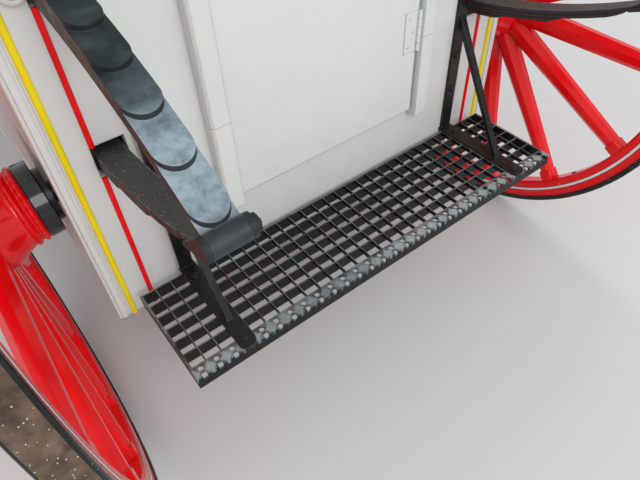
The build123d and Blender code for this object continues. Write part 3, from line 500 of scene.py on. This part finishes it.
# Floors and frame. Varnished boards laid on a red painted ladder of sills and bearers,
# with a bolt through each crossing.
def planked(name, axis, width, tone_a, tone_b):
    """Boards side by side along the axis, each with its own tone and a dark joint."""
    material = finish(name, tone_a, tone_b, 0.45, scale=12.0, coat=0.15, bump=0.25, bump_scale=180)
    tree, shader, colour, where = so_far(material)
    counted = sums(tree, "DIVIDE", xyz(tree, where)[axis], width)
    gap = sums(tree, "LESS_THAN", sums(tree, "FRACT", counted), 0.02)
    tone = add(tree, "ShaderNodeTexWhiteNoise", noise_dimensions="1D", W=sums(tree, "FLOOR", counted))
    pulled = add(tree, "ShaderNodeMapping", Vector=where)
    pulled.inputs["Scale"].default_value = (60, 3, 60) if axis == "X" else (3, 60, 60)
    grain = noise(tree, pulled.outputs["Vector"], 3.0, 6.0, Distortion=0.4)
    shade = sums(tree, "ADD", sums(tree, "MULTIPLY", tone.outputs["Value"], 0.5),
                 sums(tree, "MULTIPLY", grain, 0.8), clamp=True)
    deeper = blend(tree, shade, colour, (0.62, 0.5, 0.38), kind="MULTIPLY")
    jointed = blend(tree, gap, deeper, (0.03, 0.02, 0.012))
    tree.links.new(jointed, shader.inputs["Base Color"])
    return material


coat_nodes(planked("floor_boards", "X", 0.12, (0.34, 0.22, 0.12), (0.44, 0.30, 0.17)), "floor", "bow_floor")
coat_nodes(red_gloss, "underframe")
black_iron = finish("black_iron", (0.005, 0.0055, 0.006), (0.013, 0.014, 0.015), 0.34, scale=40, metal=0.1,
                    coat=0.05, worn=(0.13, 0.14, 0.15), wear=0.5, wear_reach=0.0025,
                    specks=(0.25, 0.26, 0.25), speck_size=0.12, speck_share=0.16, speck_scale=150.0,
                    bump=0.4, bump_scale=420, gloss=0.3)


def iron_set(model, places, name, body):
    """A small black iron fitting, set in several places on a body as one piece."""
    settle(copies(model, places), name, body, "black_iron", black_iron)


def slotted_head(radius, height, sides=24):
    """A round screw head with a slot across it, standing on X = 0."""
    head = turned([(-0.002, radius * 0.55), (0, radius), (height * 0.45, radius * 0.97),
                   (height * 0.8, radius * 0.8), (height, radius * 0.45)], sides=sides)
    reach, slot_half = radius * 1.2, radius * 0.11
    slot_bar = block((height * 0.55, -reach, -slot_half), (height * 1.5, reach, slot_half),
                     edge=radius * 0.02, steps=1)
    return carved(head, slot_bar)


def hexagon_nut(across, height):
    """A six-sided nut with its corners turned off and the bolt's end in it."""
    return turned([(0, across * 0.56), (height * 0.8, across * 0.577), (height, across * 0.5),
                   (height, across * 0.31), (height * 1.3, across * 0.3), (height * 1.42, across * 0.2)],
                  sides=6, smooth=10)


frame_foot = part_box("underframe")[0].z
sill_x = 0.29
crossings = [stand(spot(s * sill_x, y, frame_foot), (0, 0, -1)) for s in (-1, 1)
             for y in (0.097, 0.466, 0.835, 1.20)]
iron_set(hexagon_nut(0.016, 0.009), crossings, "frame_nuts", "cart")

# Counter, tubs and lids. Stainless sheet folded over the bow, with two deep round tubs let
# into it, and insulated lids that tip forwards on a rod between two ears.
steel_sheet = finish("steel_sheet", (0.54, 0.55, 0.56), (0.58, 0.59, 0.60), 0.32, scale=1.5, metal=1.0,
                     worn=(0.7, 0.7, 0.7), wear=0.3, bump=0.04, bump_scale=60, bump_depth=0.0002)
tree, shader, _, where = so_far(steel_sheet)
pulled = add(tree, "ShaderNodeMapping", Vector=where)
pulled.inputs["Scale"].default_value = (700, 6, 700)
strokes = remap(tree, noise(tree, pulled.outputs["Vector"], 1.0, 3.0), To_Min=0.24, To_Max=0.42)
tree.links.new(strokes, shader.inputs["Roughness"])
coat_nodes(steel_sheet, "counter", "tubs", "lid_left", "lid_right", "lid_hinge_ears")
counter_low, counter_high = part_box("counter")
rivet_gaps, rivet_in, rivet_drop = 12, 0.03, 0.011
rivet_pitch = (counter_high.y - counter_low.y - 2 * rivet_in) / rivet_gaps
rivets = []
for i in range(rivet_gaps + 1):
    y = counter_low.y + rivet_in + i * rivet_pitch
    for s in (-1, 1):
        rivets.append(stand((s * counter_high.x, y, counter_high.z - rivet_drop), (s, 0, 0)))
rivet = turned([(-0.001, 0.004), (0.0006, 0.004), (0.0016, 0.0032), (0.0022, 0.0016), (0.0023, 0.0003)],
               sides=12)
settle(copies(rivet, rivets), "counter_rivets", "cart", "steel_tub", steel_sheet)
lid_size, lid_top = 0.40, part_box("lid_hinge_ears")[0].z + 0.030
rib_size, rib_corner, rib_w, rib_lift = 0.34, 0.03, 0.006, 0.0012
for side, s in sides:
    lid_low, lid_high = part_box(f"lid_{side}")
    middle = ((lid_low.x + lid_high.x) / 2, lid_low.y + lid_size / 2, lid_top)
    rib = lining(middle, (1, 0, 0), (0, 1, 0), rib_size, rib_size, rib_corner, rib_w, rib_lift)
    settle(rib, f"lid_rib_{side}", f"lid_{side}", "steel_tub", steel_sheet)

# Rear door. A flush painted door that closes over its opening, hung on two butt hinges
# whose leaves are screwed on and painted over.
door_white = finish("door_white", (0.61, 0.63, 0.605), (0.66, 0.675, 0.65), 0.3, scale=1.8, coat=0.3,
                    worn=(0.42, 0.40, 0.35), wear=0.12, specks=(0.25, 0.22, 0.18), speck_size=0.04,
                    speck_share=0.03, speck_scale=30.0, dirt=0.18, dirt_top=0.75, bump=0.08, bump_scale=90)
coat_nodes(door_white, "rear_door", "door_hinges", "board_hinges")
hinge_x, hinge_heights, leaf_face, screw_rise = 0.2337, (0.707, 1.195), -0.0185, 0.032
screws = []
for z in hinge_heights:
    for dx, dz in ((0.026, -screw_rise), (0.016, 0), (0.026, screw_rise)):
        screws.append(stand(spot(hinge_x - dx, leaf_face, z + dz), (0, -1, 0)))
settle(copies(slotted_head(0.0036, 0.0012), screws), "hinge_screws", "rear_door", "white", door_white)
knob = turned([(0.0, 0.016), (0.004, 0.0165), (0.006, 0.010), (0.020, 0.007), (0.030, 0.0095),
               (0.038, 0.0125), (0.043, 0.010), (0.045, 0.003)], sides=32)
knob_in, knob_z = 0.045, 1.235
door_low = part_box("rear_door")[0]
settle(copies(knob, [stand((door_low.x + knob_in, door_low.y, knob_z), (0, -1, 0))]),
       "door_knob", "rear_door", "steel_tub", steel_sheet)

# Step. A pressed steel stair tread of deep bars and thin rods under black paint. Boots have
# worn its toothed nosing to bare grey between the holes.
tread_black = finish("tread_black", (0.003, 0.0032, 0.0035), (0.008, 0.0085, 0.009), 0.4, scale=55,
                     worn=(0.15, 0.17, 0.17), wear=0.3, wear_reach=0.0010, wear_scale=90,
                     specks=(0.22, 0.23, 0.22), speck_size=0.12, speck_share=0.16, speck_scale=170.0,
                     bump=0.4, bump_scale=500, gloss=0.2)
tread_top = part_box("step_tread")[1].z
step_len, step_cells, step_back, step_rows, row_pitch = 1.0, 30, 0.014, 6, 0.0352
nose_y = rear_face - step_back - step_rows * row_pitch
hole_line = nose_y - 0.0175
tree, shader, colour, where = so_far(tread_black)
x, y, z = xyz(tree, where)

# The bare places lie between the holes, with a ragged edge, and more of them at some stretches
counted = sums(tree, "DIVIDE", x, step_len / step_cells)
across = sums(tree, "FRACT", sums(tree, "ADD", counted, 100.5))
side_off = sums(tree, "ABSOLUTE", sums(tree, "SUBTRACT", across, 0.5))
away = sums(tree, "ABSOLUTE", sums(tree, "SUBTRACT", y, hole_line))
shape = sums(tree, "ADD", sums(tree, "MULTIPLY", side_off, 2.2), sums(tree, "DIVIDE", away, 0.016))
ragged = noise(tree, where, 130.0, 6.0, 0.7)
edge_level = sums(tree, "ADD", shape, sums(tree, "MULTIPLY", ragged, 1.4))
bare = remap(tree, edge_level, From_Min=1.68, From_Max=1.38)
ahead_of_bars = sums(tree, "LESS_THAN", y, nose_y - 0.0015)
on_top = sums(tree, "GREATER_THAN", z, tread_top - 0.0088)
stretches = remap(tree, noise(tree, where, 3.0), From_Min=0.30, From_Max=0.50, To_Min=0.35)
bare = sums(tree, "MULTIPLY", sums(tree, "MULTIPLY", bare, ahead_of_bars),
            sums(tree, "MULTIPLY", on_top, stretches), clamp=True)

# All faces that look up are painted a little greyer in patches: partly boot wear, partly a painted highlight
# where light catches the tops of the bars and rods
upward = xyz(tree, add(tree, "ShaderNodeNewGeometry").outputs["Normal"])["Z"]
scuffs = remap(tree, noise(tree, where, 28.0, 5.0, 0.7), From_Min=0.36, From_Max=0.62, To_Min=0.15)
trodden_and_lit = sums(tree, "MULTIPLY", sums(tree, "GREATER_THAN", upward, 0.9), scuffs)
colour = blend(tree, trodden_and_lit, colour, (0.19, 0.21, 0.21))
bare_tone = blend(tree, ragged, (0.10, 0.125, 0.13), (0.52, 0.58, 0.58))
tree.links.new(blend(tree, bare, colour, bare_tone), shader.inputs["Base Color"])
roughness = shader.inputs["Roughness"].links[0].from_socket
roughness = sums(tree, "ADD", roughness, sums(tree, "MULTIPLY", bare, 0.15))
tree.links.new(roughness, shader.inputs["Roughness"])
coat_nodes(tread_black, "step_tread")


# Irons. Flat wrought iron straps, uprights and braces in black paint carry the step,
# bolted through the tread and coach bolted to the wall.
def coach_bolt():
    """A shallow round head, standing on X = 0."""
    return turned([(-0.001, 0.008), (0.0008, 0.0085), (0.003, 0.0072), (0.0046, 0.0042), (0.005, 0.0008)],
                  sides=24)


coat_nodes(black_iron, "step_irons")
strap_x, upright_x, strap_t, upright_t = 0.386, 0.387, 0.006, 0.008
heads, under_nuts, wall_bolts = [], [], []
for s in (-1, 1):
    for y in (-0.040, -0.2345):
        heads.append(stand(spot(s * strap_x, y, tread_top + strap_t), (0, 0, 1)))
        under_nuts.append(stand(spot(s * strap_x, y, tread_top - 0.003), (0, 0, -1)))
    for z in (0.500, 0.590, 0.820):
        wall_bolts.append(stand(spot(s * upright_x, -upright_t, z), (0, -1, 0)))
iron_set(slotted_head(0.0085, 0.0042), heads, "strap_bolts", "cart")
iron_set(hexagon_nut(0.015, 0.008), under_nuts, "strap_nuts", "cart")
iron_set(coach_bolt(), wall_bolts, "upright_bolts", "cart")


# Springs. Full elliptic springs of tempered leaves, each with a round end, blackened and going blue-grey
# towards the eye, partly polished by rain and hands and partly a painted reflection of the sky. A painted
# shade darkens the upper leaves, the leaf ends and eyes carry painted shadow, the sides a painted reflection
# of the red wheels, and the joints at the side are dark.
def leaf_steel(name, centre_y, centre_z, radius, light, painted_shade_heights, rough, metal, half_length):
    """Leaf steel whose stacked leaves show as fine lines on the sides, struck about a centre.
    It is painted darker upwards between the two heights given, a painted shade for the dark canopy seen in
    the glossy steel. The leaf end faces and the eye are painted near black as painted shadow, and the sides
    dark maroon as a painted reflection of the red wheels."""
    material = finish(name, light[0], light[1], rough, scale=42, spread=(0.34, 0.58), metal=metal,
                      worn=(0.42, 0.50, 0.55), wear=1.1, wear_reach=0.0028, wear_scale=40,
                      specks=(0.36, 0.40, 0.40), speck_size=0.15, speck_share=0.5, speck_scale=165.0,
                      bump=0.5, bump_scale=380, gloss=0.35)
    tree, shader, colour, where = so_far(material)
    x, y, z = xyz(tree, where)
    y_off = sums(tree, "SUBTRACT", y, centre_y)
    z_off = sums(tree, "SUBTRACT", z, centre_z)
    distance = sums(tree, "SQRT", sums(tree, "ADD", sums(tree, "MULTIPLY", y_off, y_off),
                                       sums(tree, "MULTIPLY", z_off, z_off)))
    layer = sums(tree, "DIVIDE", sums(tree, "SUBTRACT", distance, radius), leaf_t)
    share = sums(tree, "FRACT", sums(tree, "ADD", layer, 100.0))
    from_joint = sums(tree, "ABSOLUTE", sums(tree, "SUBTRACT", share, 0.5))
    joint = remap(tree, from_joint, From_Min=0.24, From_Max=0.34)
    facing = xyz(tree, add(tree, "ShaderNodeNewGeometry").outputs["True Normal"])
    on_side = sums(tree, "GREATER_THAN", sums(tree, "ABSOLUTE", facing["X"]), 0.985)
    end_and_eye_shadow = sums(tree, "LESS_THAN", sums(tree, "ABSOLUTE", facing["Z"]), 0.55)
    past_eye = remap(tree, sums(tree, "ABSOLUTE", y_off), From_Min=half_length - 0.020,
                     From_Max=half_length - 0.002)
    end_and_eye_shadow = sums(tree, "MAXIMUM", end_and_eye_shadow, past_eye)
    # Painted shade: the leaves darken upwards between the two heights, broken by a noise, for the dark
    # canopy overhead seen in the glossy steel
    high = remap(tree, z, From_Min=painted_shade_heights[0], From_Max=painted_shade_heights[1], interpolation_type="SMOOTHSTEP")
    high = sums(tree, "MULTIPLY", high, sums(tree, "ADD", noise(tree, where, 14.0, 5.0), 0.55), clamp=True)
    colour = blend(tree, high, colour, (0.010, 0.019, 0.021))
    # Painted shadow: the leaf end faces and the eye are painted near black
    colour = blend(tree, sums(tree, "MULTIPLY", end_and_eye_shadow, 0.92), colour, (0.010, 0.012, 0.013))
    # Painted reflection: the leaf sides are painted dark maroon for the red wheels seen in them
    colour = blend(tree, sums(tree, "MULTIPLY", on_side, 0.95), colour, (0.040, 0.024, 0.026))
    colour = blend(tree, sums(tree, "MULTIPLY", joint, on_side), colour, (0.004, 0.004, 0.004))
    tree.links.new(colour, shader.inputs["Base Color"])
    return material


def arc_radius(half, sag):
    """The radius that a leaf is bent to, from half its length and its sag."""
    return (half ** 2 + sag ** 2) / (2 * sag)


leaf_t = 0.007
# Heights above any leaf, so these leaves get no painted shade
no_painted_shade = (2.0, 3.0)
rear_axle_y = rear_face + axle_y
half, sag, eye_z = 0.533, 0.135, 0.838
bend = arc_radius(half, sag)
# The blue-grey tones of these leaves and of the front ones are partly polish and dust and partly a painted
# reflection of the sky
blue_steel = leaf_steel("blue_steel", rear_axle_y, eye_z + sag - bend, bend,
                        ((0.14, 0.19, 0.22), (0.30, 0.385, 0.43)), (0.905, 0.960), 0.42, 0.15, half)
dull_steel = leaf_steel("dull_steel", rear_axle_y, eye_z - sag + bend, bend,
                        ((0.034, 0.035, 0.035), (0.056, 0.057, 0.056)), no_painted_shade, 0.5, 0.0, half)
coat_nodes(blue_steel, "rear_springs_upper")
coat_nodes(dull_steel, "rear_springs_lower", "spring_brackets")
front_axle_y = rear_face + 2.080
front_spring_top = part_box("front_springs_upper")[1].z
front_half, front_sag, front_leaves = 0.370, 0.092, 5
front_bend = arc_radius(front_half, front_sag)
front_steel = leaf_steel("front_steel", front_axle_y, front_spring_top - front_leaves * leaf_t - front_bend,
                         front_bend, ((0.10, 0.14, 0.17), (0.24, 0.31, 0.36)), no_painted_shade, 0.42, 0.15,
                         front_half)
coat_nodes(front_steel, "front_springs_upper", "front_springs_lower")
spring_x, ear_half_w = 0.445, 0.033
eyes = [stand((s * (spring_x - ear_half_w), rear_axle_y + end * half, eye_z), (-s, 0, 0))
        for s in (-1, 1) for end in (-1, 1)]
iron_set(hexagon_nut(0.019, 0.007), eyes, "rear_eye_nuts", "cart")

# Axles. Forged iron in black paint: the rear one cranked down below the floor, the front
# one straight, with turned arms and collars that the hubs run against.
coat_nodes(black_iron, "rear_axle", "rear_axle_arms", "rear_axle_collars", "front_axle")

# Wheels. Ash spokes in an elm hub and sawn felloes, painted a deep glossy red, with iron
# bands shrunk on the hub, a white line round the felloes and a flat iron tyre.
tyre_edge = finish("tyre_edge", (0.003, 0.003, 0.003), (0.010, 0.0105, 0.010), 0.3, scale=60, coat=0.1,
                   worn=(0.16, 0.17, 0.17), wear=0.4, wear_reach=0.002, specks=(0.5, 0.52, 0.52),
                   speck_size=0.15, speck_share=0.3, speck_scale=190.0, bump=0.5, bump_scale=380, gloss=0.3)
tyre_tread = finish("tyre_tread", (0.060, 0.038, 0.025), (0.17, 0.115, 0.08), 0.85, scale=40,
                    specks=(0.55, 0.50, 0.44), speck_size=0.19, speck_share=0.42, speck_scale=210.0,
                    worn=(0.25, 0.25, 0.24), wear=0.35, wear_reach=0.002, bump=0.9, bump_scale=330,
                    bump_depth=0.0012, gloss=0.25)
band_iron = finish("band_iron", (0.002, 0.0022, 0.0025), (0.006, 0.0065, 0.007), 0.13, scale=30, coat=0.3,
                   worn=(0.10, 0.11, 0.11), wear=0.35, wear_reach=0.0012, specks=(0.3, 0.3, 0.3),
                   speck_size=0.1, speck_share=0.1, speck_scale=150.0, bump=0.15, bump_scale=160, gloss=0.35)
line_white = finish("line_white", (0.80, 0.72, 0.70), (0.86, 0.80, 0.78), 0.3, coat=0.1, bump=0.05)
line_black = finish("line_black", (0.03, 0.004, 0.004), (0.05, 0.006, 0.006), 0.3, bump=0.05, gloss=0.2)
hub_red = finish("hub_red", (0.66, 0.0015, 0.004), (0.80, 0.003, 0.006), 0.15, scale=4.0, coat=0.3,
                 worn=(0.14, 0.01, 0.01), wear=0.2, wear_reach=0.002, specks=(0.85, 0.5, 0.5),
                 speck_size=0.05, speck_share=0.05, speck_scale=60.0, bump=0.25, bump_scale=40.0,
                 bump_depth=0.0012, gloss=0.25)
tyre_half_w, tyre_t, felloe_half_w, felloe_depth = 0.025, 0.0135, 0.022, 0.048


def painted_hoop(radius, width, face, out, lift=0.0004, sides=128):
    """A thin flat hoop painted on a wheel's face. It stands out along X by the lift."""
    x0, x1 = face - out * 0.0003, face + out * lift
    return turned([(x0, radius - width / 2), (x1, radius - width / 2), (x1, radius + width / 2),
                   (x0, radius + width / 2), (x0, radius - width / 2)], sides=sides, smooth=30)


for joint in frame["joints"]:
    name = joint["name"]
    if not name.startswith("wheel_"):
        continue
    body = joint["child"]
    centre = Vector(joint["pos_m"])
    s = 1 if centre.x > 0 else -1
    out = Vector(joint["axis"]) * s
    ahead = Vector((0, s, 0))
    place = Matrix.Translation(centre) @ Matrix((out, ahead, out.cross(ahead))).transposed().to_4x4()
    rear = "rear" in name
    radius, count, tyre_sides = (0.585, 14, 144) if rear else (0.390, 12, 112)
    spoke_turn = 2 * math.pi / count
    coat_nodes(red_gloss, f"{body}_spokes", f"{body}_felloes")

    # The hub is turned with rings and hollows, over which the iron band is shrunk
    hub = turned([(-0.131, 0.040), (-0.131, 0.0690), (-0.1035, 0.0690), (-0.1020, 0.0730), (-0.0985, 0.0748),
                  (-0.0945, 0.0735), (-0.0925, 0.0705), (-0.0900, 0.0700), (-0.0875, 0.0730),
                  (-0.0835, 0.0765), (-0.0790, 0.0760), (-0.0765, 0.0735), (-0.0740, 0.0735),
                  (-0.060, 0.0790), (-0.046, 0.0860), (-0.036, 0.0912), (-0.033, 0.0920), (0.033, 0.0920),
                  (0.036, 0.0912), (0.044, 0.0830), (0.052, 0.0770), (0.060, 0.0710), (0.064, 0.0705),
                  (0.067, 0.0680), (0.070, 0.0600), (0.074, 0.0540), (0.078, 0.0515), (0.0880, 0.0490),
                  (0.0900, 0.0450), (0.0910, 0.0380), (0.0910, 0.002)], sides=72, smooth=28)
    hub = settle(copies(hub, [place]), f"{body}_turned_hub", body, "red", hub_red)
    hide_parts(f"{body}_hub")
    band = turned([(-0.1325, 0.0405), (-0.1325, 0.0700), (-0.1310, 0.0722), (-0.1065, 0.0726),
                   (-0.1045, 0.0712), (-0.1040, 0.0685), (-0.1040, 0.0405), (-0.1325, 0.0405)],
                  sides=72, smooth=28)
    settle(copies(band, [place]), f"{body}_inner_band", body, "black_iron", band_iron)
    cap = turned([(0.072, 0.0495), (0.072, 0.0535), (0.075, 0.0545), (0.087, 0.0540), (0.0900, 0.0510),
                  (0.0940, 0.0460), (0.0990, 0.0430), (0.1015, 0.0360), (0.1020, 0.0190), (0.1035, 0.0170),
                  (0.1038, 0.001)], sides=64, smooth=28)
    settle(copies(cap, [place]), f"{body}_hub_cap", body, "black_iron", band_iron)

    # The tyre has rounded edges, and its running face is dusty and pitted
    inside = radius - tyre_t
    tyre = turned([(-tyre_half_w, inside), (-tyre_half_w, radius - 0.0035), (-0.0235, radius - 0.0012),
                   (-0.0205, radius), (0.0205, radius), (0.0235, radius - 0.0012),
                   (tyre_half_w, radius - 0.0035), (tyre_half_w, inside), (-tyre_half_w, inside)],
                  sides=tyre_sides, smooth=50)
    for face in tyre.data.polygons:
        running = abs(face.center.x) < 0.019 and face.center.yz.length > radius - 0.006
        face.material_index = 1 if running else 0
    tyre = copies(tyre, [place])
    settle(tyre, f"{body}_iron_tyre", body, "tyre_iron")
    tyre.data.materials.append(tyre_edge)
    tyre.data.materials.append(tyre_tread)
    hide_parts(f"{body}_tyre")

    # White line, edged in black, on both faces of the felloes
    line_radius = radius - 0.037
    for label, face in (("inner", -1), ("outer", 1)):
        white = painted_hoop(line_radius, 0.0070, face * felloe_half_w, face)
        settle(copies(white, [place]), f"{body}_line_{label}", body, "red", line_white)
        for edge, off in (("a", -0.0045), ("b", 0.0045)):
            black = painted_hoop(line_radius + off, 0.0013, face * felloe_half_w, face, lift=0.0003)
            settle(copies(black, [place]), f"{body}_line_{label}_{edge}", body, "red", line_black)

    # Square shoulders where the spokes enter the felloes, and a bolt at each felloe joint
    foot = inside - felloe_depth
    shoulder = block((-0.0188, -0.0162, foot - 0.026), (0.0188, 0.0162, foot + 0.003), edge=0.002, steps=3)
    places = [place @ Matrix.Rotation(spoke_turn * (i + 0.5), 4, "X") for i in range(count)]
    settle(copies(shoulder, places), f"{body}_spoke_shoulders", body, "red", red_gloss)
    bolt = turned([(-0.002, 0.0055), (0.0008, 0.0060), (0.0026, 0.0048), (0.0032, 0.0008)], sides=14)
    at_foot = Matrix.Translation((0, 0, foot)) @ Matrix.Rotation(math.pi / 2, 4, "Y")
    places = [place @ Matrix.Rotation(spoke_turn * (i + 0.15), 4, "X") @ at_foot for i in range(1, count, 2)]
    iron_set(bolt, places, f"{body}_felloe_bolts", body)

# Turntable and fore-carriage. Two iron rings run on each other, the upper bolted under the
# bow and the lower to a painted bed that sits on the front springs.
coat_nodes(black_iron, "turntable_upper")
coat_nodes(red_gloss, "fore_carriage_bed")
bed_nuts = [stand((s * x, front_axle_y + y, front_spring_top), (0, 0, -1))
            for s in (-1, 1) for x in (0.16, 0.27, 0.35) for y in (-0.028, 0.028)]
iron_set(hexagon_nut(0.015, 0.008), bed_nuts, "bed_nuts", "fore_carriage")
ring_middle, ring_t, bolt_count = 0.3075, 0.0124, 12
ring_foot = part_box("fore_carriage_bed")[1].z - ring_t
ring_bolts = []
for i in range(bolt_count):
    angle = 2 * math.pi * (i + 0.5) / bolt_count
    x, y = math.cos(angle) * ring_middle, math.sin(angle) * ring_middle
    clear_of_bed_and_bars = abs(abs(x) - 0.15) > 0.05 and abs(y) > 0.07
    if clear_of_bed_and_bars:
        ring_bolts.append(stand((x, front_axle_y + y, ring_foot), (0, 0, -1)))
iron_set(coach_bolt(), ring_bolts, "ring_bolts", "fore_carriage")

# Drawbar. An ash pole with an iron-bound forked end that lifts on a pin, a forged eye at
# its tip, and red paint with straps of black iron round it.
coat_nodes(red_gloss, "drawbar")
coat_nodes(black_iron, "tow_eye")
lift = next(joint for joint in frame["joints"] if joint["name"] == "drawbar_lift")
pin = Vector(lift["pos_m"])
drawbar_slope = math.radians(27.217)
fork_half_w, strap_w = 0.185, 0.032
straps = [block((-0.0325, y, -0.030), (0.0325, y + strap_w, 0.030), edge=0.0025, steps=2)
          for y in (0.47, 0.62, 1.36)]
along_bar = Matrix.Translation(pin) @ Matrix.Rotation(-drawbar_slope, 4, "X")
iron_set(joined(straps), [along_bar], "drawbar_straps", "drawbar")
pin_ends = [stand(pin + Vector((s * fork_half_w, 0, 0)), (s, 0, 0)) for s in (-1, 1)]
iron_set(hexagon_nut(0.034, 0.014), pin_ends, "drawbar_pin_nuts", "drawbar")

# Canopy. Turned and painted posts carry rails and curved ribs, under boards covered with
# painted canvas. A scalloped board hangs all round, edged with white and yellow lines.
canvas = finish("canvas", (0.60, 0.58, 0.52), (0.68, 0.66, 0.60), 0.8, scale=3, bump=0.5, bump_scale=900)
post_red = finish("post_red", (0.72, 0.003, 0.005), (0.84, 0.005, 0.008), 0.25, scale=7.0, coat=0.2,
                  worn=(0.2, 0.02, 0.02), wear=0.3, bump=0.1, bump_scale=120, gloss=0.25)
coat_nodes(canvas, "roof")
coat_nodes(board_white, "roof_rails")
coat_nodes(post_red, "posts", "valance")
post_low, post_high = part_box("posts")
post_half_w = 0.0283
up = (0, 0, 1)
feet = [spot(s * (post_high.x - post_half_w), y, post_low.z) for s in (-1, 1) for y in (0.060, 2.540)]
foot_plate = turned([(0.0, 0.044), (0.003, 0.0445), (0.0045, 0.042), (0.0055, 0.032), (0.012, 0.0295),
                     (0.014, 0.0278)], sides=40)
iron_set(foot_plate, [stand(foot, up) for foot in feet], "post_foot_plates", "cart")
post_ring = turned([(0.0, 0.0285), (0.002, 0.0302), (0.008, 0.0302), (0.010, 0.0285)], sides=36)
ring_rises = [(post_high.z - post_low.z) * share - 0.005 for share in (0.16, 0.85)]
rings = [stand(foot + Vector((0, 0, rise)), up) for foot in feet for rise in ring_rises]
settle(copies(post_ring, rings), "post_rings", "cart", "yellow", line_yellow)
low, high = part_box("valance")
trim = 0.001             # how far a line stands out, and how far it stays from a corner
faces = (("left", low.x - trim, low.x, low.y + trim, high.y - trim),
         ("right", high.x, high.x + trim, low.y + trim, high.y - trim),
         ("rear", low.x + trim, high.x - trim, low.y - trim, low.y),
         ("front", low.x + trim, high.x - trim, high.y, high.y + trim))
for side, x0, x1, y0, y1 in faces:
    for tone, drop, width, paint in (("yellow", 0.030, 0.008, line_yellow),
                                     ("white", 0.090, 0.005, line_white)):
        line = block((x0, y0, high.z - drop - width), (x1, y1, high.z - drop), edge=0.0003, steps=1)
        settle(line, f"valance_line_{tone}_{side}", "cart", tone, paint)
